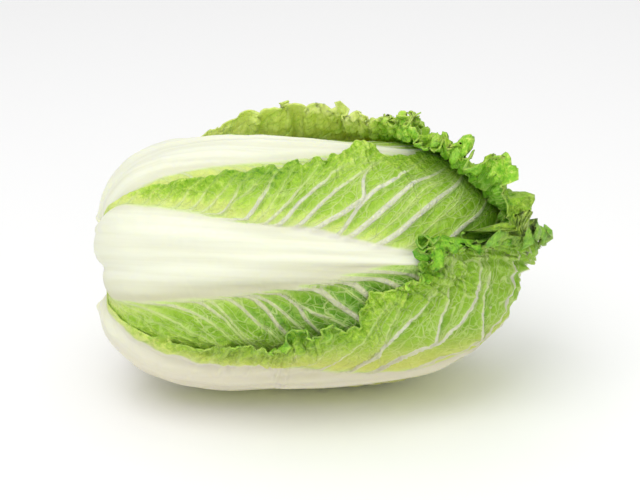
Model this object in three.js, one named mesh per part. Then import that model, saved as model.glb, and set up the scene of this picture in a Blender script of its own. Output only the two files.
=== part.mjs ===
// A napa cabbage, lying on its side: a cut stem, a dense heart of inner leaves, and two whorls of
// five leaves wrapped round it. Each leaf has a thick white rib that runs out of the stem, a thin
// blade on both sides of it, and a waved edge that stands off the head where nothing covers it.
//
// Millimetres, +Z up. +X runs along the head from the stem to the tips, and -Y is its front.
// The origin is under the middle of the head, on the surface that it lies on.

import * as THREE from "three";

const DEG = Math.PI / 180;

// ---------------------------------------------------------------------------------------------
// Driving dimensions. Directions from the head's middle are a polar angle, 0 at the stem and 180
// at the tip, and an azimuth round the axis, 0 at the front and 90 on top.
// ---------------------------------------------------------------------------------------------

const HEART_RADIUS = [ // polar angle, distance from the middle of the head
  [0, 104], [15, 105.5], [22, 108], [30, 107], [40, 100], [50, 90], [60, 81.5], [70, 74.5],
  [80, 70], [90, 68.5], [100, 69.5], [110, 72.5], [120, 78.5], [130, 88], [140, 100],
  [147, 109], [155, 117], [163, 122.5], [170, 126.5], [180, 129],
];
const UNDERSIDE_SAG = [ // polar angle, how far the head has settled downwards there
  [55, 0], [75, 1.6], [90, 3.2], [105, 4.8], [118, 6], [130, 5.4], [148, 0],
];
const AXIS_RISE = 1.2 * DEG; // the tip lies a little higher than the stem
const BLADE_THICKNESS = 1.1;
const LAYER_GAP = 0.9; // clear space between one leaf and what it lies on
const HEART_CLEARANCE = 0.6; // and, besides, between the heart and the first leaves
const EDGE_MARGIN = 0.035; // how far past a leaf's edge, in radians, the next one still rides it
const LEAF_START = 9.6; // polar angle where a leaf leaves the stem
const STEM_HALF_ANGLE = 8.6 * DEG;
const STEM_FROM = 105; // from the middle of the head to the stem's inner end
const STEM_TO = 115.5; // and to its cut face
const FLAT_DEPTH = 1.7; // how much of the underside is pressed flat by the head's weight

const RIB_HALF_WIDTH = [ // polar angle, half the white rib's width
  [9, 11], [16, 20], [24, 29], [34, 31], [50, 28], [69, 23.5], [90, 19], [111, 13], [128, 7.2],
  [143, 4], [155, 2.4], [195, 1.2],
];
const RIB_THICKNESS = [ // polar angle, the rib's thickness at its middle
  [9, 7.5], [25, 7.5], [50, 7], [90, 5.4], [128, 3.4], [155, 2], [195, 1.2],
];

// Where a leaf's columns of points lie, as shares of its half width.
const OUTER_COLUMNS = [-1, -0.9, -0.72, -0.48, -0.24, 0, 0.24, 0.48, 0.72, 0.9, 1];
const INNER_COLUMNS = [-1, -0.82, -0.55, -0.28, 0, 0.28, 0.55, 0.82, 1];

// The outer whorl, from the outermost leaf inwards, then the inner one. Each side of a blade is a
// list of polar angle and half width; lift is how far the free edge stands off the head.
const INNER_SIDE = [[9, 11], [20, 25], [35, 36], [60, 46], [90, 54], [120, 62], [140, 60]];
const LEAVES = [
  {
    name: "leaf_lower_front", azimuth: -51, lean: 2.5, tip: 189, rows: 52, phase: 0.6,
    up: [[9, 12], [20, 32], [35, 47], [53, 55], [75, 60], [98, 62], [115, 71], [128, 87],
      [140, 106], [152, 113], [167, 94], [178, 62], [189, 10]],
    down: [[9, 12], [20, 27], [35, 37], [60, 52], [90, 68], [120, 78], [145, 78], [165, 62],
      [178, 38], [189, 9]],
    upLift: [[9, 0], [35, 2], [60, 3.5], [100, 5], [140, 8], [165, 9], [189, 14]],
    downLift: [[9, 0], [60, 0.5], [120, 0.5], [165, 5], [189, 14]],
    columns: [-1, -0.9, -0.76, -0.61, -0.44, -0.22, 0, 0.24, 0.48, 0.72, 0.9, 1],
  },
  {
    name: "leaf_back", azimuth: 163, lean: 0, tip: 193, rows: 52, phase: 2.1,
    up: [[9, 12], [20, 27], [35, 36], [60, 50], [90, 62], [120, 72], [145, 76], [165, 66],
      [180, 44], [193, 9]],
    down: [[9, 12], [20, 27], [35, 38], [45, 46], [60, 58], [90, 72], [120, 86], [145, 102],
      [157, 108], [168, 100], [182, 80], [193, 34]],
    upLift: [[9, 0], [35, 1.5], [60, 2.5], [120, 4], [165, 7], [193, 12]],
    downLift: [[9, 0], [40, 0.5], [52, 4], [66, 11], [82, 17], [110, 19], [127, 15], [145, 10],
      [160, 10], [175, 16], [193, 12]],
  },
  {
    name: "leaf_front", azimuth: 25, lean: 3, tip: 166, rows: 52, phase: 1.2,
    up: [[9, 12], [20, 30], [35, 46], [44, 54], [56, 56], [66, 57], [77, 54], [88, 57], [100, 62],
      [110, 67], [133, 84], [140, 74], [149, 80], [158, 66], [166, 20]],
    down: [[9, 12], [20, 31], [35, 47], [50, 58], [65, 63], [90, 66], [120, 68], [140, 66],
      [155, 46], [166, 14]],
    upLift: [[9, 0], [30, 1.5], [45, 3], [90, 3.5], [133, 4.5], [150, 7], [166, 9]],
    downLift: [[9, 0], [40, 1], [90, 3], [130, 4], [166, 9]],
  },
  {
    name: "leaf_lower_back", azimuth: -123, lean: 0, tip: 170, rows: 40, phase: 4.4,
    up: [[9, 12], [20, 27], [35, 36], [60, 50], [90, 60], [120, 66], [145, 62], [160, 46],
      [170, 16]],
    down: [[9, 12], [20, 27], [35, 38], [60, 53], [90, 64], [120, 72], [145, 68], [160, 46],
      [170, 16]],
    upLift: [[9, 0], [90, 1], [170, 6]],
    downLift: [[9, 0], [60, 2], [120, 3], [170, 7]],
  },
  {
    name: "leaf_top", azimuth: 88, lean: 3, tip: 163, rows: 40, phase: 3.3,
    up: [[9, 12], [20, 27], [35, 36], [60, 50], [90, 58], [120, 64], [145, 60], [163, 14]],
    down: [[9, 12], [20, 27], [35, 37], [60, 50], [90, 58], [120, 64], [145, 60], [163, 14]],
    upLift: [[9, 0], [90, 2], [163, 6]],
    downLift: [[9, 0], [90, 2], [163, 6]],
  },
  { name: "inner_leaf_top_front", azimuth: 57, tip: 160, phase: 0.2 },
  { name: "inner_leaf_under", azimuth: -87, tip: 158, phase: 1.9 },
  { name: "inner_leaf_top_back", azimuth: 129, tip: 161, phase: 3.0 },
  { name: "inner_leaf_front", azimuth: -13, tip: 159, phase: 4.1 },
  { name: "inner_leaf_low_back", azimuth: -159, tip: 160, phase: 5.5 },
].map((leaf) => ({
  lean: 0,
  rows: 20,
  columns: leaf.rows ? OUTER_COLUMNS : INNER_COLUMNS,
  up: [...INNER_SIDE, [leaf.tip, 13]],
  down: [...INNER_SIDE, [leaf.tip, 13]],
  upLift: [[9, 0], [90, 1.5], [leaf.tip, 6]],
  downLift: [[9, 0], [90, 1.5], [leaf.tip, 6]],
  ...leaf,
}));

const WAVE_LENGTH = 23; // of the waved edge
const EDGE_BAND = 12; // how far in from its edge a blade is waved
const WAVE_LIMIT = 3.2; // the most that a wave adds to or takes from the lift
const SCALLOP = 2.6; // how far the waved outline goes in and out

const BLADE_COLOUR = 0x9ccb4e;
const HEART_COLOUR = 0xe6e9a8;
const STEM_COLOUR = 0xe9e4cc;

// ---------------------------------------------------------------------------------------------
// Directions, tables and the shape of one leaf
// ---------------------------------------------------------------------------------------------

// The value of a table at x, on a smooth curve through its points that never overshoots them.
function lookUp(table, x) {
  const last = table.length - 1;
  if (x <= table[0][0]) return table[0][1];
  if (x >= table[last][0]) return table[last][1];
  const i = table.findIndex((point) => point[0] > x) - 1;
  const slope = (k) => (table[k + 1][1] - table[k][1]) / (table[k + 1][0] - table[k][0]);
  const tangent = (k) => {
    if (k === 0 || k === last) return 0;
    const [before, after] = [slope(k - 1), slope(k)];
    return before * after <= 0 ? 0 : (2 * before * after) / (before + after);
  };
  const span = table[i + 1][0] - table[i][0];
  const t = (x - table[i][0]) / span;
  const [t2, t3] = [t * t, t * t * t];
  return (2 * t3 - 3 * t2 + 1) * table[i][1] + (t3 - 2 * t2 + t) * span * tangent(i)
    + (3 * t2 - 2 * t3) * table[i + 1][1] + (t3 - t2) * span * tangent(i + 1);
}

const smoothStep = (low, high, x) => THREE.MathUtils.smoothstep(x, low, high);

function azimuthDirection(azimuth) {
  return new THREE.Vector3(0, -Math.cos(azimuth), Math.sin(azimuth));
}

function heartRadius(direction) {
  const polar = Math.acos(THREE.MathUtils.clamp(-direction.x, -1, 1));
  const down = Math.max(0, -direction.z / Math.max(Math.sin(polar), 1e-6));
  return lookUp(HEART_RADIUS, polar / DEG) + lookUp(UNDERSIDE_SAG, polar / DEG) * down ** 8;
}

// A leaf's own directions: along is the angle from the stem over the rib's line, and across is
// the angle to one side of it, so that nothing pinches where the leaf folds over the tip.
class Leaf {
  constructor(spec, layer) {
    Object.assign(this, spec);
    this.layer = layer; // 0 is the outermost
    const lean = spec.lean * DEG;
    const side = azimuthDirection(spec.azimuth * DEG + Math.PI / 2);
    const stem = new THREE.Vector3(-1, 0, 0);
    this.rib = azimuthDirection(spec.azimuth * DEG);
    this.start = stem.clone().multiplyScalar(Math.cos(lean)).addScaledVector(side, Math.sin(lean));
    this.side = side.multiplyScalar(Math.cos(lean)).addScaledVector(stem, -Math.sin(lean));
  }

  direction(along, across) {
    const inPlane = this.start.clone().multiplyScalar(Math.cos(along))
      .addScaledVector(this.rib, Math.sin(along));
    return inPlane.multiplyScalar(Math.cos(across)).addScaledVector(this.side, Math.sin(across));
  }

  locate(direction) {
    const across = Math.asin(THREE.MathUtils.clamp(direction.dot(this.side), -1, 1));
    const along = Math.atan2(direction.dot(this.rib), direction.dot(this.start));
    return { along: along < -Math.PI / 2 ? along + 2 * Math.PI : along, across };
  }

  // How far along the rib a point is, in millimetres, for waves of an even length.
  reach(along) {
    return along * 95;
  }

  wave(along, side) {
    const turn = (2 * Math.PI * this.reach(along)) / WAVE_LENGTH;
    const phase = this.phase + (side > 0 ? 0 : 2.4);
    return 0.62 * Math.sin(turn + phase) + 0.38 * Math.sin(1.63 * turn + 2.1 * phase);
  }

  // The blade's half width on one side, as an angle.
  halfWidth(along, side) {
    const polar = along / DEG;
    const radius = heartRadius(this.direction(along, 0)) + 10;
    const fade = smoothStep(28, 60, polar);
    const width = lookUp(side > 0 ? this.up : this.down, polar);
    return (width + SCALLOP * fade * this.wave(along, side)) / radius;
  }

  // How far inside the outline a direction is, in millimetres; negative outside it.
  depthInside(direction) {
    const { along, across } = this.locate(direction);
    const radius = heartRadius(direction) + 10;
    const held = THREE.MathUtils.clamp(along, LEAF_START * DEG, this.tip * DEG);
    const side = this.halfWidth(held, across) - Math.abs(across);
    return Math.min(side, this.tip * DEG - along, along - LEAF_START * DEG) * radius;
  }

  // The blade and rib's thickness square to the leaf.
  thickness(along, across) {
    const polar = along / DEG;
    const radius = heartRadius(this.direction(along, across)) + 10;
    const share = Math.min(1, (Math.abs(across) * radius) / lookUp(RIB_HALF_WIDTH, polar));
    const rib = lookUp(RIB_THICKNESS, polar) - BLADE_THICKNESS;
    return BLADE_THICKNESS + Math.max(0, rib) * (1 - share * share) ** 0.8;
  }

  // How far the waved edge stands off the head.
  frill(along, across) {
    const polar = along / DEG;
    const direction = this.direction(along, across);
    const fromEdge = Math.max(0, this.depthInside(direction));
    const lift = lookUp(across > 0 ? this.upLift : this.downLift, polar);
    const shown = Math.min(1, ...LEAVES_BUILT.filter((other) => other.layer < this.layer)
      .map((other) => smoothStep(1, 9, -other.depthInside(direction))));
    const band = Math.exp(-((fromEdge / (EDGE_BAND + 0.6 * lift)) ** 2));
    const waved = Math.min(0.45 * lift, WAVE_LIMIT) * this.wave(along, across);
    return shown * band * (lift + waved);
  }
}

const LEAVES_BUILT = LEAVES.map((spec, layer) => new Leaf(spec, layer));

// ---------------------------------------------------------------------------------------------
// Laying the leaves on each other, from the heart outwards
// ---------------------------------------------------------------------------------------------

// A leaf's rows lie closer together over the blade than over the smooth lower rib.
function rowAngles(leaf) {
  const [low, high] = [LEAF_START * DEG, leaf.tip * DEG];
  return Array.from({ length: leaf.rows + 1 }, (_, i) => {
    const t = i / leaf.rows;
    return low + (high - low) * (t + 0.16 * Math.sin(Math.PI * t) * (1 - t * 0.4));
  });
}

// The distance of a laid leaf's outer face from the middle of the head, or 0 outside the leaf.
function outerFaceAt(leaf, direction) {
  const { along, across } = leaf.locate(direction);
  const last = leaf.angles.length - 1;
  const [first, end] = [leaf.angles[0], leaf.angles[last]];
  if (along < first - EDGE_MARGIN || along > end + EDGE_MARGIN) return 0;
  const reach = THREE.MathUtils.clamp(along, first, end);
  const halfWidth = leaf.halfWidth(reach, across);
  if (Math.abs(across) > halfWidth + EDGE_MARGIN) return 0;
  const held = THREE.MathUtils.clamp(across / halfWidth, -1, 1);
  const row = THREE.MathUtils.clamp(leaf.angles.findLastIndex((a) => a <= reach), 0, last - 1);
  const j = Math.min(leaf.columns.length - 2, leaf.columns.findLastIndex((c) => c <= held));
  const u = (reach - leaf.angles[row]) / (leaf.angles[row + 1] - leaf.angles[row]);
  const v = (held - leaf.columns[j]) / (leaf.columns[j + 1] - leaf.columns[j]);
  const [near, far] = [leaf.outer[row], leaf.outer[row + 1]];
  return (1 - u) * ((1 - v) * near[j] + v * near[j + 1])
    + u * ((1 - v) * far[j] + v * far[j + 1]);
}

// How far out the pile reaches in one direction, as a share of the heart's radius there.
function pileUnder(direction, laid) {
  const radius = heartRadius(direction);
  return Math.max(radius + heartRelief(direction),
    ...laid.map((leaf) => outerFaceAt(leaf, direction))) / radius;
}

// The highest of what lies under the patch of the leaf round one of its points.
function highestNear(leaf, laid, along, across, alongStep, acrossStep) {
  let highest = 0;
  for (const a of [-1, -0.5, 0, 0.5, 1]) {
    for (const b of [-1, -0.5, 0, 0.5, 1]) {
      const near = leaf.direction(along + a * alongStep, across + b * acrossStep);
      highest = Math.max(highest, pileUnder(near, laid));
    }
  }
  return highest;
}

function blurred(grid) {
  const at = (i, j) => grid[THREE.MathUtils.clamp(i, 0, grid.length - 1)][
    THREE.MathUtils.clamp(j, 0, grid[0].length - 1)];
  return grid.map((row, i) => row.map((value, j) =>
    (2 * value + at(i - 1, j) + at(i + 1, j) + at(i, j - 1) + at(i, j + 1)) / 6));
}

function layLeaf(leaf, laid) {
  leaf.angles = rowAngles(leaf);
  const across = leaf.angles.map((along) => leaf.columns.map(
    (t) => t * leaf.halfWidth(along, t)));
  const directions = leaf.angles.map((along, i) => across[i].map(
    (side) => leaf.direction(along, side)));
  const acrossSteps = across.map((row) => row.map((side, j) => Math.max(
    side - (row[j - 1] ?? side), (row[j + 1] ?? side) - side)));
  const alongStep = (leaf.tip - LEAF_START) * DEG / leaf.rows;
  const under = leaf.angles.map((along, i) => across[i].map((side, j) => highestNear(
    leaf, laid, along, side, alongStep, 0.7 * acrossSteps[i][j])));
  let seat = under;
  for (let pass = 0; pass < 3; pass++) {
    seat = blurred(seat).map((row, i) => row.map((value, j) => Math.max(value, under[i][j])));
  }
  leaf.directions = directions;
  leaf.inner = seat.map((row, i) => row.map((value, j) =>
    (value + acrossSteps[i][j] ** 2 / 8) * heartRadius(directions[i][j]) + LAYER_GAP
    + leaf.frill(leaf.angles[i], across[i][j])));
  leaf.outer = leaf.inner.map((row, i) => row.map((value, j) => {
    const steep = steepness(leaf, leaf.inner, i, j);
    return value + leaf.thickness(leaf.angles[i], across[i][j]) * steep;
  }));
}

// How much longer a step straight out from the middle is than one square to the face.
function steepness(leaf, radii, i, j) {
  const [lastRow, lastColumn] = [radii.length - 1, radii[0].length - 1];
  const point = (a, b) => {
    const [row, column] = [THREE.MathUtils.clamp(a, 0, lastRow),
      THREE.MathUtils.clamp(b, 0, lastColumn)];
    return leaf.directions[row][column].clone().multiplyScalar(radii[row][column]);
  };
  const along = point(i + 1, j).sub(point(i - 1, j));
  const across = point(i, j + 1).sub(point(i, j - 1));
  const normal = along.cross(across).normalize();
  return 1 / Math.max(0.42, Math.abs(normal.dot(leaf.directions[i][j])));
}

// The heart's own leaves show as ribs and overlapping edges raised from its surface.
function heartRelief(direction) {
  const polar = Math.acos(THREE.MathUtils.clamp(-direction.x, -1, 1));
  const azimuth = Math.atan2(direction.z, -direction.y);
  const shown = Math.sin(polar) ** 0.5;
  const turn = azimuth / (72 * DEG) + 0.35 * polar;
  const share = turn - Math.floor(turn);
  const edge = share < 0.86 ? share / 0.86 : (1 - share) / 0.14;
  const crown = smoothStep(125 * DEG, 165 * DEG, polar);
  return shown * (1.8 * edge + crown * 1.6 * Math.sin(11 * azimuth + 3 * polar)) - 1.6;
}

// ---------------------------------------------------------------------------------------------
// Solids
// ---------------------------------------------------------------------------------------------

// A closed sheet between two grids of points, split into triangles alike on both faces.
function sheetGeometry(innerPoints, outerPoints) {
  const [rows, columns] = [outerPoints.length, outerPoints[0].length];
  const positions = [...outerPoints.flat(), ...innerPoints.flat()].flatMap((p) => p.toArray());
  const top = (i, j) => i * columns + j;
  const bottom = (i, j) => rows * columns + top(i, j);
  const index = [];
  const quad = (a, b, c, d) => index.push(a, c, b, a, d, c);
  for (let i = 0; i < rows - 1; i++) {
    for (let j = 0; j < columns - 1; j++) {
      quad(top(i, j), top(i, j + 1), top(i + 1, j + 1), top(i + 1, j));
      index.push(bottom(i, j), bottom(i, j + 1), bottom(i + 1, j + 1));
      index.push(bottom(i, j), bottom(i + 1, j + 1), bottom(i + 1, j));
    }
  }
  for (let i = 0; i < rows - 1; i++) {
    quad(top(i, 0), top(i + 1, 0), bottom(i + 1, 0), bottom(i, 0));
    const j = columns - 1;
    quad(top(i + 1, j), top(i, j), bottom(i, j), bottom(i + 1, j));
  }
  for (let j = 0; j < columns - 1; j++) {
    quad(top(0, j + 1), top(0, j), bottom(0, j), bottom(0, j + 1));
    const i = rows - 1;
    quad(top(i, j), top(i, j + 1), bottom(i, j + 1), bottom(i, j));
  }
  return new THREE.BufferGeometry()
    .setAttribute("position", new THREE.Float32BufferAttribute(positions, 3))
    .setIndex(index);
}

function tilted(point) {
  return point.applyAxisAngle(new THREE.Vector3(0, 1, 0), -AXIS_RISE);
}

function leafPoints(leaf, radii) {
  return leaf.directions.map((row, i) => row.map(
    (d, j) => tilted(d.clone().multiplyScalar(radii[i][j]))));
}

// The lowest skin is pressed flat where the head's weight rests on it: its outer face comes down
// to the floor there, and its inner face stays.
function leafGeometry(leaf, floor) {
  const outer = leafPoints(leaf, leaf.outer);
  for (const point of outer.flat()) {
    if (point.z < floor + FLAT_DEPTH) point.z = floor;
  }
  return sheetGeometry(leafPoints(leaf, leaf.inner), outer);
}

function heartGeometry() {
  const geometry = new THREE.SphereGeometry(1, 30, 22);
  geometry.deleteAttribute("normal");
  geometry.deleteAttribute("uv");
  const position = geometry.getAttribute("position");
  const direction = new THREE.Vector3();
  for (let i = 0; i < position.count; i++) {
    // The sphere's poles are on Y, and the head's axis is X.
    direction.fromBufferAttribute(position, i).applyAxisAngle(new THREE.Vector3(0, 0, 1),
      Math.PI / 2);
    direction.x = THREE.MathUtils.clamp(direction.x, -1, 1);
    const radius = heartRadius(direction) + heartRelief(direction) - HEART_CLEARANCE;
    const point = tilted(direction.clone().multiplyScalar(radius));
    position.setXYZ(i, point.x, point.y, point.z);
  }
  return geometry;
}

function stemGeometry() {
  const bevel = 1.2;
  const spread = Math.tan(STEM_HALF_ANGLE);
  const profile = [
    [0, STEM_FROM], [STEM_FROM * spread, STEM_FROM], [(STEM_TO - bevel) * spread, STEM_TO - bevel],
    [(STEM_TO - bevel) * spread - bevel, STEM_TO], [0, STEM_TO - 0.8],
  ].map(([radius, height]) => new THREE.Vector2(radius, height));
  const geometry = new THREE.LatheGeometry(profile, 24);
  geometry.deleteAttribute("normal");
  geometry.deleteAttribute("uv");
  return geometry.rotateZ(Math.PI / 2).rotateY(-AXIS_RISE);
}

// ---------------------------------------------------------------------------------------------
// The assembly
// ---------------------------------------------------------------------------------------------

function mesh(name, geometry, color, roughness) {
  const material = new THREE.MeshStandardMaterial({ color, roughness, metalness: 0 });
  const made = new THREE.Mesh(geometry, material);
  made.name = name;
  return made;
}

const laid = [];
for (const leaf of [...LEAVES_BUILT].reverse()) {
  layLeaf(leaf, laid);
  laid.push(leaf);
}

const head = new THREE.Group();
head.add(mesh("stem", stemGeometry(), STEM_COLOUR, 0.8));
head.add(mesh("heart", heartGeometry(), HEART_COLOUR, 0.6));
const lowest = laid.flatMap((leaf) => leafPoints(leaf, leaf.outer).flat().map((p) => p.z));
const floor = Math.min(...lowest);
for (const leaf of laid) head.add(mesh(leaf.name, leafGeometry(leaf, floor), BLADE_COLOUR, 0.45));

const box = new THREE.Box3().setFromObject(head);
head.position.set(-(box.min.x + box.max.x) / 2, -(box.min.y + box.max.y) / 2, -box.min.z);

export default head;
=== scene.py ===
"""A napa cabbage lying on its side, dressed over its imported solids.

Every leaf is a sheet laid on the leaves inside it. Its own coordinates are along, the angle from
the stem over the midrib, and across, the angle to one side of it, so that nothing pinches where a
leaf folds over the tip. Lengths are millimetres until a mesh is placed, and metres from there.
"""

import logging
import math
from dataclasses import dataclass, field
from enum import Enum
from typing import Any, Callable

import bmesh
import bpy
import numpy as np
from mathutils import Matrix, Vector


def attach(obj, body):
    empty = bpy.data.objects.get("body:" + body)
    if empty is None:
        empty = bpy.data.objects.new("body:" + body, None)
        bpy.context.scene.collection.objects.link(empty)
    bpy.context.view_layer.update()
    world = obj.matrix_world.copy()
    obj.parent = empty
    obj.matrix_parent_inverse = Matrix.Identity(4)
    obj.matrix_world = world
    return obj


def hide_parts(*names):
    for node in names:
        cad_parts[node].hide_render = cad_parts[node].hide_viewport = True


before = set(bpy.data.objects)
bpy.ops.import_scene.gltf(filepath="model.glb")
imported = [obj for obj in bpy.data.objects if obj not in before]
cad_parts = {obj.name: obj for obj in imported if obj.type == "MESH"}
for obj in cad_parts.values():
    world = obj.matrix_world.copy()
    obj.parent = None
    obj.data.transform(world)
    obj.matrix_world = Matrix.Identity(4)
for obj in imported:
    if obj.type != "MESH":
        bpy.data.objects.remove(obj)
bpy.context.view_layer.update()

LOG = logging.getLogger("napa_cabbage")
Array = np.ndarray
Points = tuple[tuple[float, float], ...]
Place = tuple[float, float, float]
DEG = math.pi / 180
MM = 0.001
GOLDEN = 0.618034
PLASTIC = 0.7549
HASH_STEPS = (374761393, 668265263, 974711)
HASH_MIX = 1274126177
HASH_MASK = 0x7FFFFFFF
HASH_ANGLES = 3600
NOISE_GAIN = 1.5


# ---------------------------------------------------------------------------------------------
# Curves and noise
# ---------------------------------------------------------------------------------------------


def smooth_step(low: float, high: float, x: Array) -> Array:
    """Rises smoothly from 0 at low to 1 at high.

    Args:
        low: where the rise starts.
        high: where it ends.
        x: the values.

    Returns:
        The share from 0 to 1 for each value.
    """
    t = np.clip((x - low) / (high - low), 0.0, 1.0)
    return t * t * (3.0 - 2.0 * t)


def fraction(x: Array) -> Array:
    """The part of a number after its whole number, for each value."""
    return x - np.floor(x)


def lattice_noise(x: Array, y: Array, seed: int) -> Array:
    """Smooth seeded noise in two dimensions, about -1 to 1, one bump to a unit.

    Args:
        x: first coordinates.
        y: second coordinates.
        seed: picks the pattern.

    Returns:
        The noise at each point.
    """
    xi, yi = np.floor(x).astype(np.int64), np.floor(y).astype(np.int64)
    xf, yf = x - xi, y - yi

    def slope(i: Array, j: Array, dx: Array, dy: Array) -> Array:
        """How high a corner's own tilt is at some steps from it."""
        step_i, step_j, step_seed = HASH_STEPS
        mixed = (i * step_i + j * step_j + seed * step_seed) & HASH_MASK
        mixed = ((mixed ^ (mixed >> 13)) * HASH_MIX) & HASH_MASK
        angle = (mixed ^ (mixed >> 16)) % HASH_ANGLES * (2 * math.pi / HASH_ANGLES)
        return np.cos(angle) * dx + np.sin(angle) * dy

    u, v = (t * t * t * (t * (t * 6 - 15) + 10) for t in (xf, yf))
    low = slope(xi, yi, xf, yf) * (1 - u) + slope(xi + 1, yi, xf - 1, yf) * u
    high = slope(xi, yi + 1, xf, yf - 1) * (1 - u) + slope(xi + 1, yi + 1, xf - 1, yf - 1) * u
    return NOISE_GAIN * (low * (1 - v) + high * v)


@dataclass(frozen=True)
class Curve:
    """A smooth curve through the points of a table, which never overshoots them."""

    points: Points
    level_ends: bool = True

    def __call__(self, x: Array) -> Array:
        """Looks values up.

        Args:
            x: where to read the curve.

        Returns:
            The curve's value at each x, held level past both ends.
        """
        px, py = (np.array(column, float) for column in zip(*self.points))
        slope = np.diff(py) / np.diff(px)
        tangent = np.zeros(len(px))
        before, after = slope[:-1], slope[1:]
        same = before * after > 0
        tangent[1:-1][same] = (2 * before * after)[same] / (before + after)[same]
        if not self.level_ends:
            tangent[0], tangent[-1] = slope[0], slope[-1]
        x = np.clip(x, px[0], px[-1])
        i = np.clip(np.searchsorted(px, x, side="right") - 1, 0, len(px) - 2)
        span = px[i + 1] - px[i]
        t = (x - px[i]) / span
        t2, t3 = t * t, t * t * t
        return ((2 * t3 - 3 * t2 + 1) * py[i] + (t3 - 2 * t2 + t) * span * tangent[i]
                + (3 * t2 - 2 * t3) * py[i + 1] + (t3 - t2) * span * tangent[i + 1])


# ---------------------------------------------------------------------------------------------
# The head's form
# ---------------------------------------------------------------------------------------------


@dataclass(frozen=True)
class Head:
    """The head's axis and the form of its heart, which all its leaves wrap.

    Heart is its radius by polar angle, and sag what the underside has more of. Its own leaves
    each wrap a share of a turn, rise to their edge and fall off it, and fold at the crown. Each
    outer leaf is tucked in where it starts, over a few degrees from the stem.
    """

    centre: Place = (-14.00551, 1.43625, 83.61813)
    rise: float = 1.2 * DEG
    heart: Curve = Curve((
        (0, 105), (14, 108), (22, 110.5), (30, 108.5), (40, 100.5), (50, 90), (60, 81.5),
        (70, 74.5), (80, 70), (90, 68.5), (100, 69.5), (110, 72.5), (120, 78.5), (130, 88),
        (140, 100), (147, 109), (155, 117), (163, 122.5), (170, 126.5), (180, 129)))
    sag: Curve = Curve((
        (55, 0), (75, 1.6), (90, 3.2), (105, 4.8), (118, 6), (130, 5.4), (148, 0)))
    sag_power: int = 8
    wrap: float = 72 * DEG
    wrap_lean: float = 0.35
    wrap_rise: float = 0.86
    wrap_height: float = 1.8
    crown_from: float = 125 * DEG
    crown_full: float = 165 * DEG
    crown_folds: int = 11
    fold_lean: float = 3.0
    fold_height: float = 1.6
    tuck_start: float = 9.6
    tuck_span: float = 4.0
    tuck_rise: float = 0.22

    def radius(self, directions: Array) -> Array:
        """The heart's radius in some directions.

        Args:
            directions: unit vectors from the middle of the head.

        Returns:
            One radius in millimetres for each.
        """
        polar = np.arccos(np.clip(-directions[..., 0], -1, 1))
        down = np.maximum(0, -directions[..., 2] / np.maximum(np.sin(polar), 1e-6))
        return self.heart(polar / DEG) + self.sag(polar / DEG) * down ** self.sag_power

    def relief(self, directions: Array) -> Array:
        """How far the heart's own leaves stand up from its radius, in millimetres.

        Args:
            directions: unit vectors from the middle of the head.

        Returns:
            One height for each, in its own order.
        """
        polar = np.arccos(np.clip(-directions[..., 0], -1, 1))
        azimuth = np.arctan2(directions[..., 2], -directions[..., 1])
        share = fraction(azimuth / self.wrap + self.wrap_lean * polar)
        edge = np.where(share < self.wrap_rise, share / self.wrap_rise,
                        (1 - share) / (1 - self.wrap_rise))
        crown = smooth_step(self.crown_from, self.crown_full, polar)
        turn = self.crown_folds * azimuth + self.fold_lean * polar
        folds = self.fold_height * crown * np.sin(turn)
        return np.sqrt(np.sin(polar)) * (self.wrap_height * edge + folds) - self.fold_height

    def tuck(self, polar: Array) -> Array:
        """How much of a leaf's distance from the heart is left, near the stem that it joins."""
        share = np.clip((polar / DEG - self.tuck_start) / self.tuck_span, 0, 1)
        turn = share * math.pi / 2
        return 1 - self.tuck_rise + self.tuck_rise * np.sin(turn) ** 0.8

    def tucked(self, points: Array) -> Array:
        """Draws the lower ends of leaves in to the stem, in the order that they lie in.

        Args:
            points: millimetres from the middle of the head.

        Returns:
            The points, nearer to the heart where they are close to the stem.
        """
        reach = np.linalg.norm(points, axis=-1)
        directions = points / reach[..., None]
        polar = np.arccos(np.clip(-directions[..., 0], -1, 1))
        heart = self.radius(directions)
        return directions * (heart + (reach - heart) * self.tuck(polar))[..., None]

    def placed(self, points: Array) -> Array:
        """Turns points about the middle of the head into places in the row frame.

        Args:
            points: millimetres from the middle of the head, before its rise.

        Returns:
            The same points in metres.
        """
        cosine, sine = math.cos(self.rise), math.sin(self.rise)
        x, y, z = points[..., 0], points[..., 1], points[..., 2]
        turned = np.stack((cosine * x - sine * z, y, sine * x + cosine * z), axis=-1)
        return (turned + np.array(self.centre)) * MM


def azimuth_direction(azimuth: float) -> Array:
    """The unit vector square to the head's axis at an azimuth, 0 at the front and 90 on top."""
    return np.array((0.0, -math.cos(azimuth), math.sin(azimuth)))


@dataclass(frozen=True)
class Margin:
    """One side of a blade, in tables by polar angle in degrees, with lengths in millimetres.

    Width is how far the blade reaches from the midrib, and lift how far its free edge stands
    off the leaves inside. Ruffle is the height of the edge's folds. Curl is how much of the
    blade is rolled back, and bend the least radius of that roll. Crumple is the height of the
    blade's blisters, tint how green the free edge is, and trim how far the blade's colour comes
    in over the rib. Deep is painted shade added to the whole side's green, and the share after
    it greys its side of the rib with painted shade, for a side that lies in shadow.

    Each of the veins is a path of how far off the rib it is, how far along the leaf, and its
    half width there. On a side without them veins come by a rule, and sweep is how far they
    lean to the tip, at the stem and more for each millimetre.
    """

    width: Points
    lift: Points
    ruffle: Points = ((9, 0), (45, 0.6), (90, 1.4), (200, 2.4))
    curl: Points = ((9, 0), (200, 0))
    bend: Points = ((9, 3), (200, 3))
    crumple: Points = ((9, 0), (45, 0.5), (200, 0.6))
    tint: Points = ((9, 0.3), (100, 0.6), (150, 1.0), (200, 1.2))
    trim: Points = ((9, 0), (200, 0))
    # Painted shade: deepens the green of a side that lies in shadow.
    deep: float = 0.0
    # Painted shade: greys the outer part of this side of the rib.
    lower_rib_shade: float = 0.0
    veins: tuple[tuple[Place, ...], ...] = ()
    sweep: tuple[float, float] = (0.1, 0.006)


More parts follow.
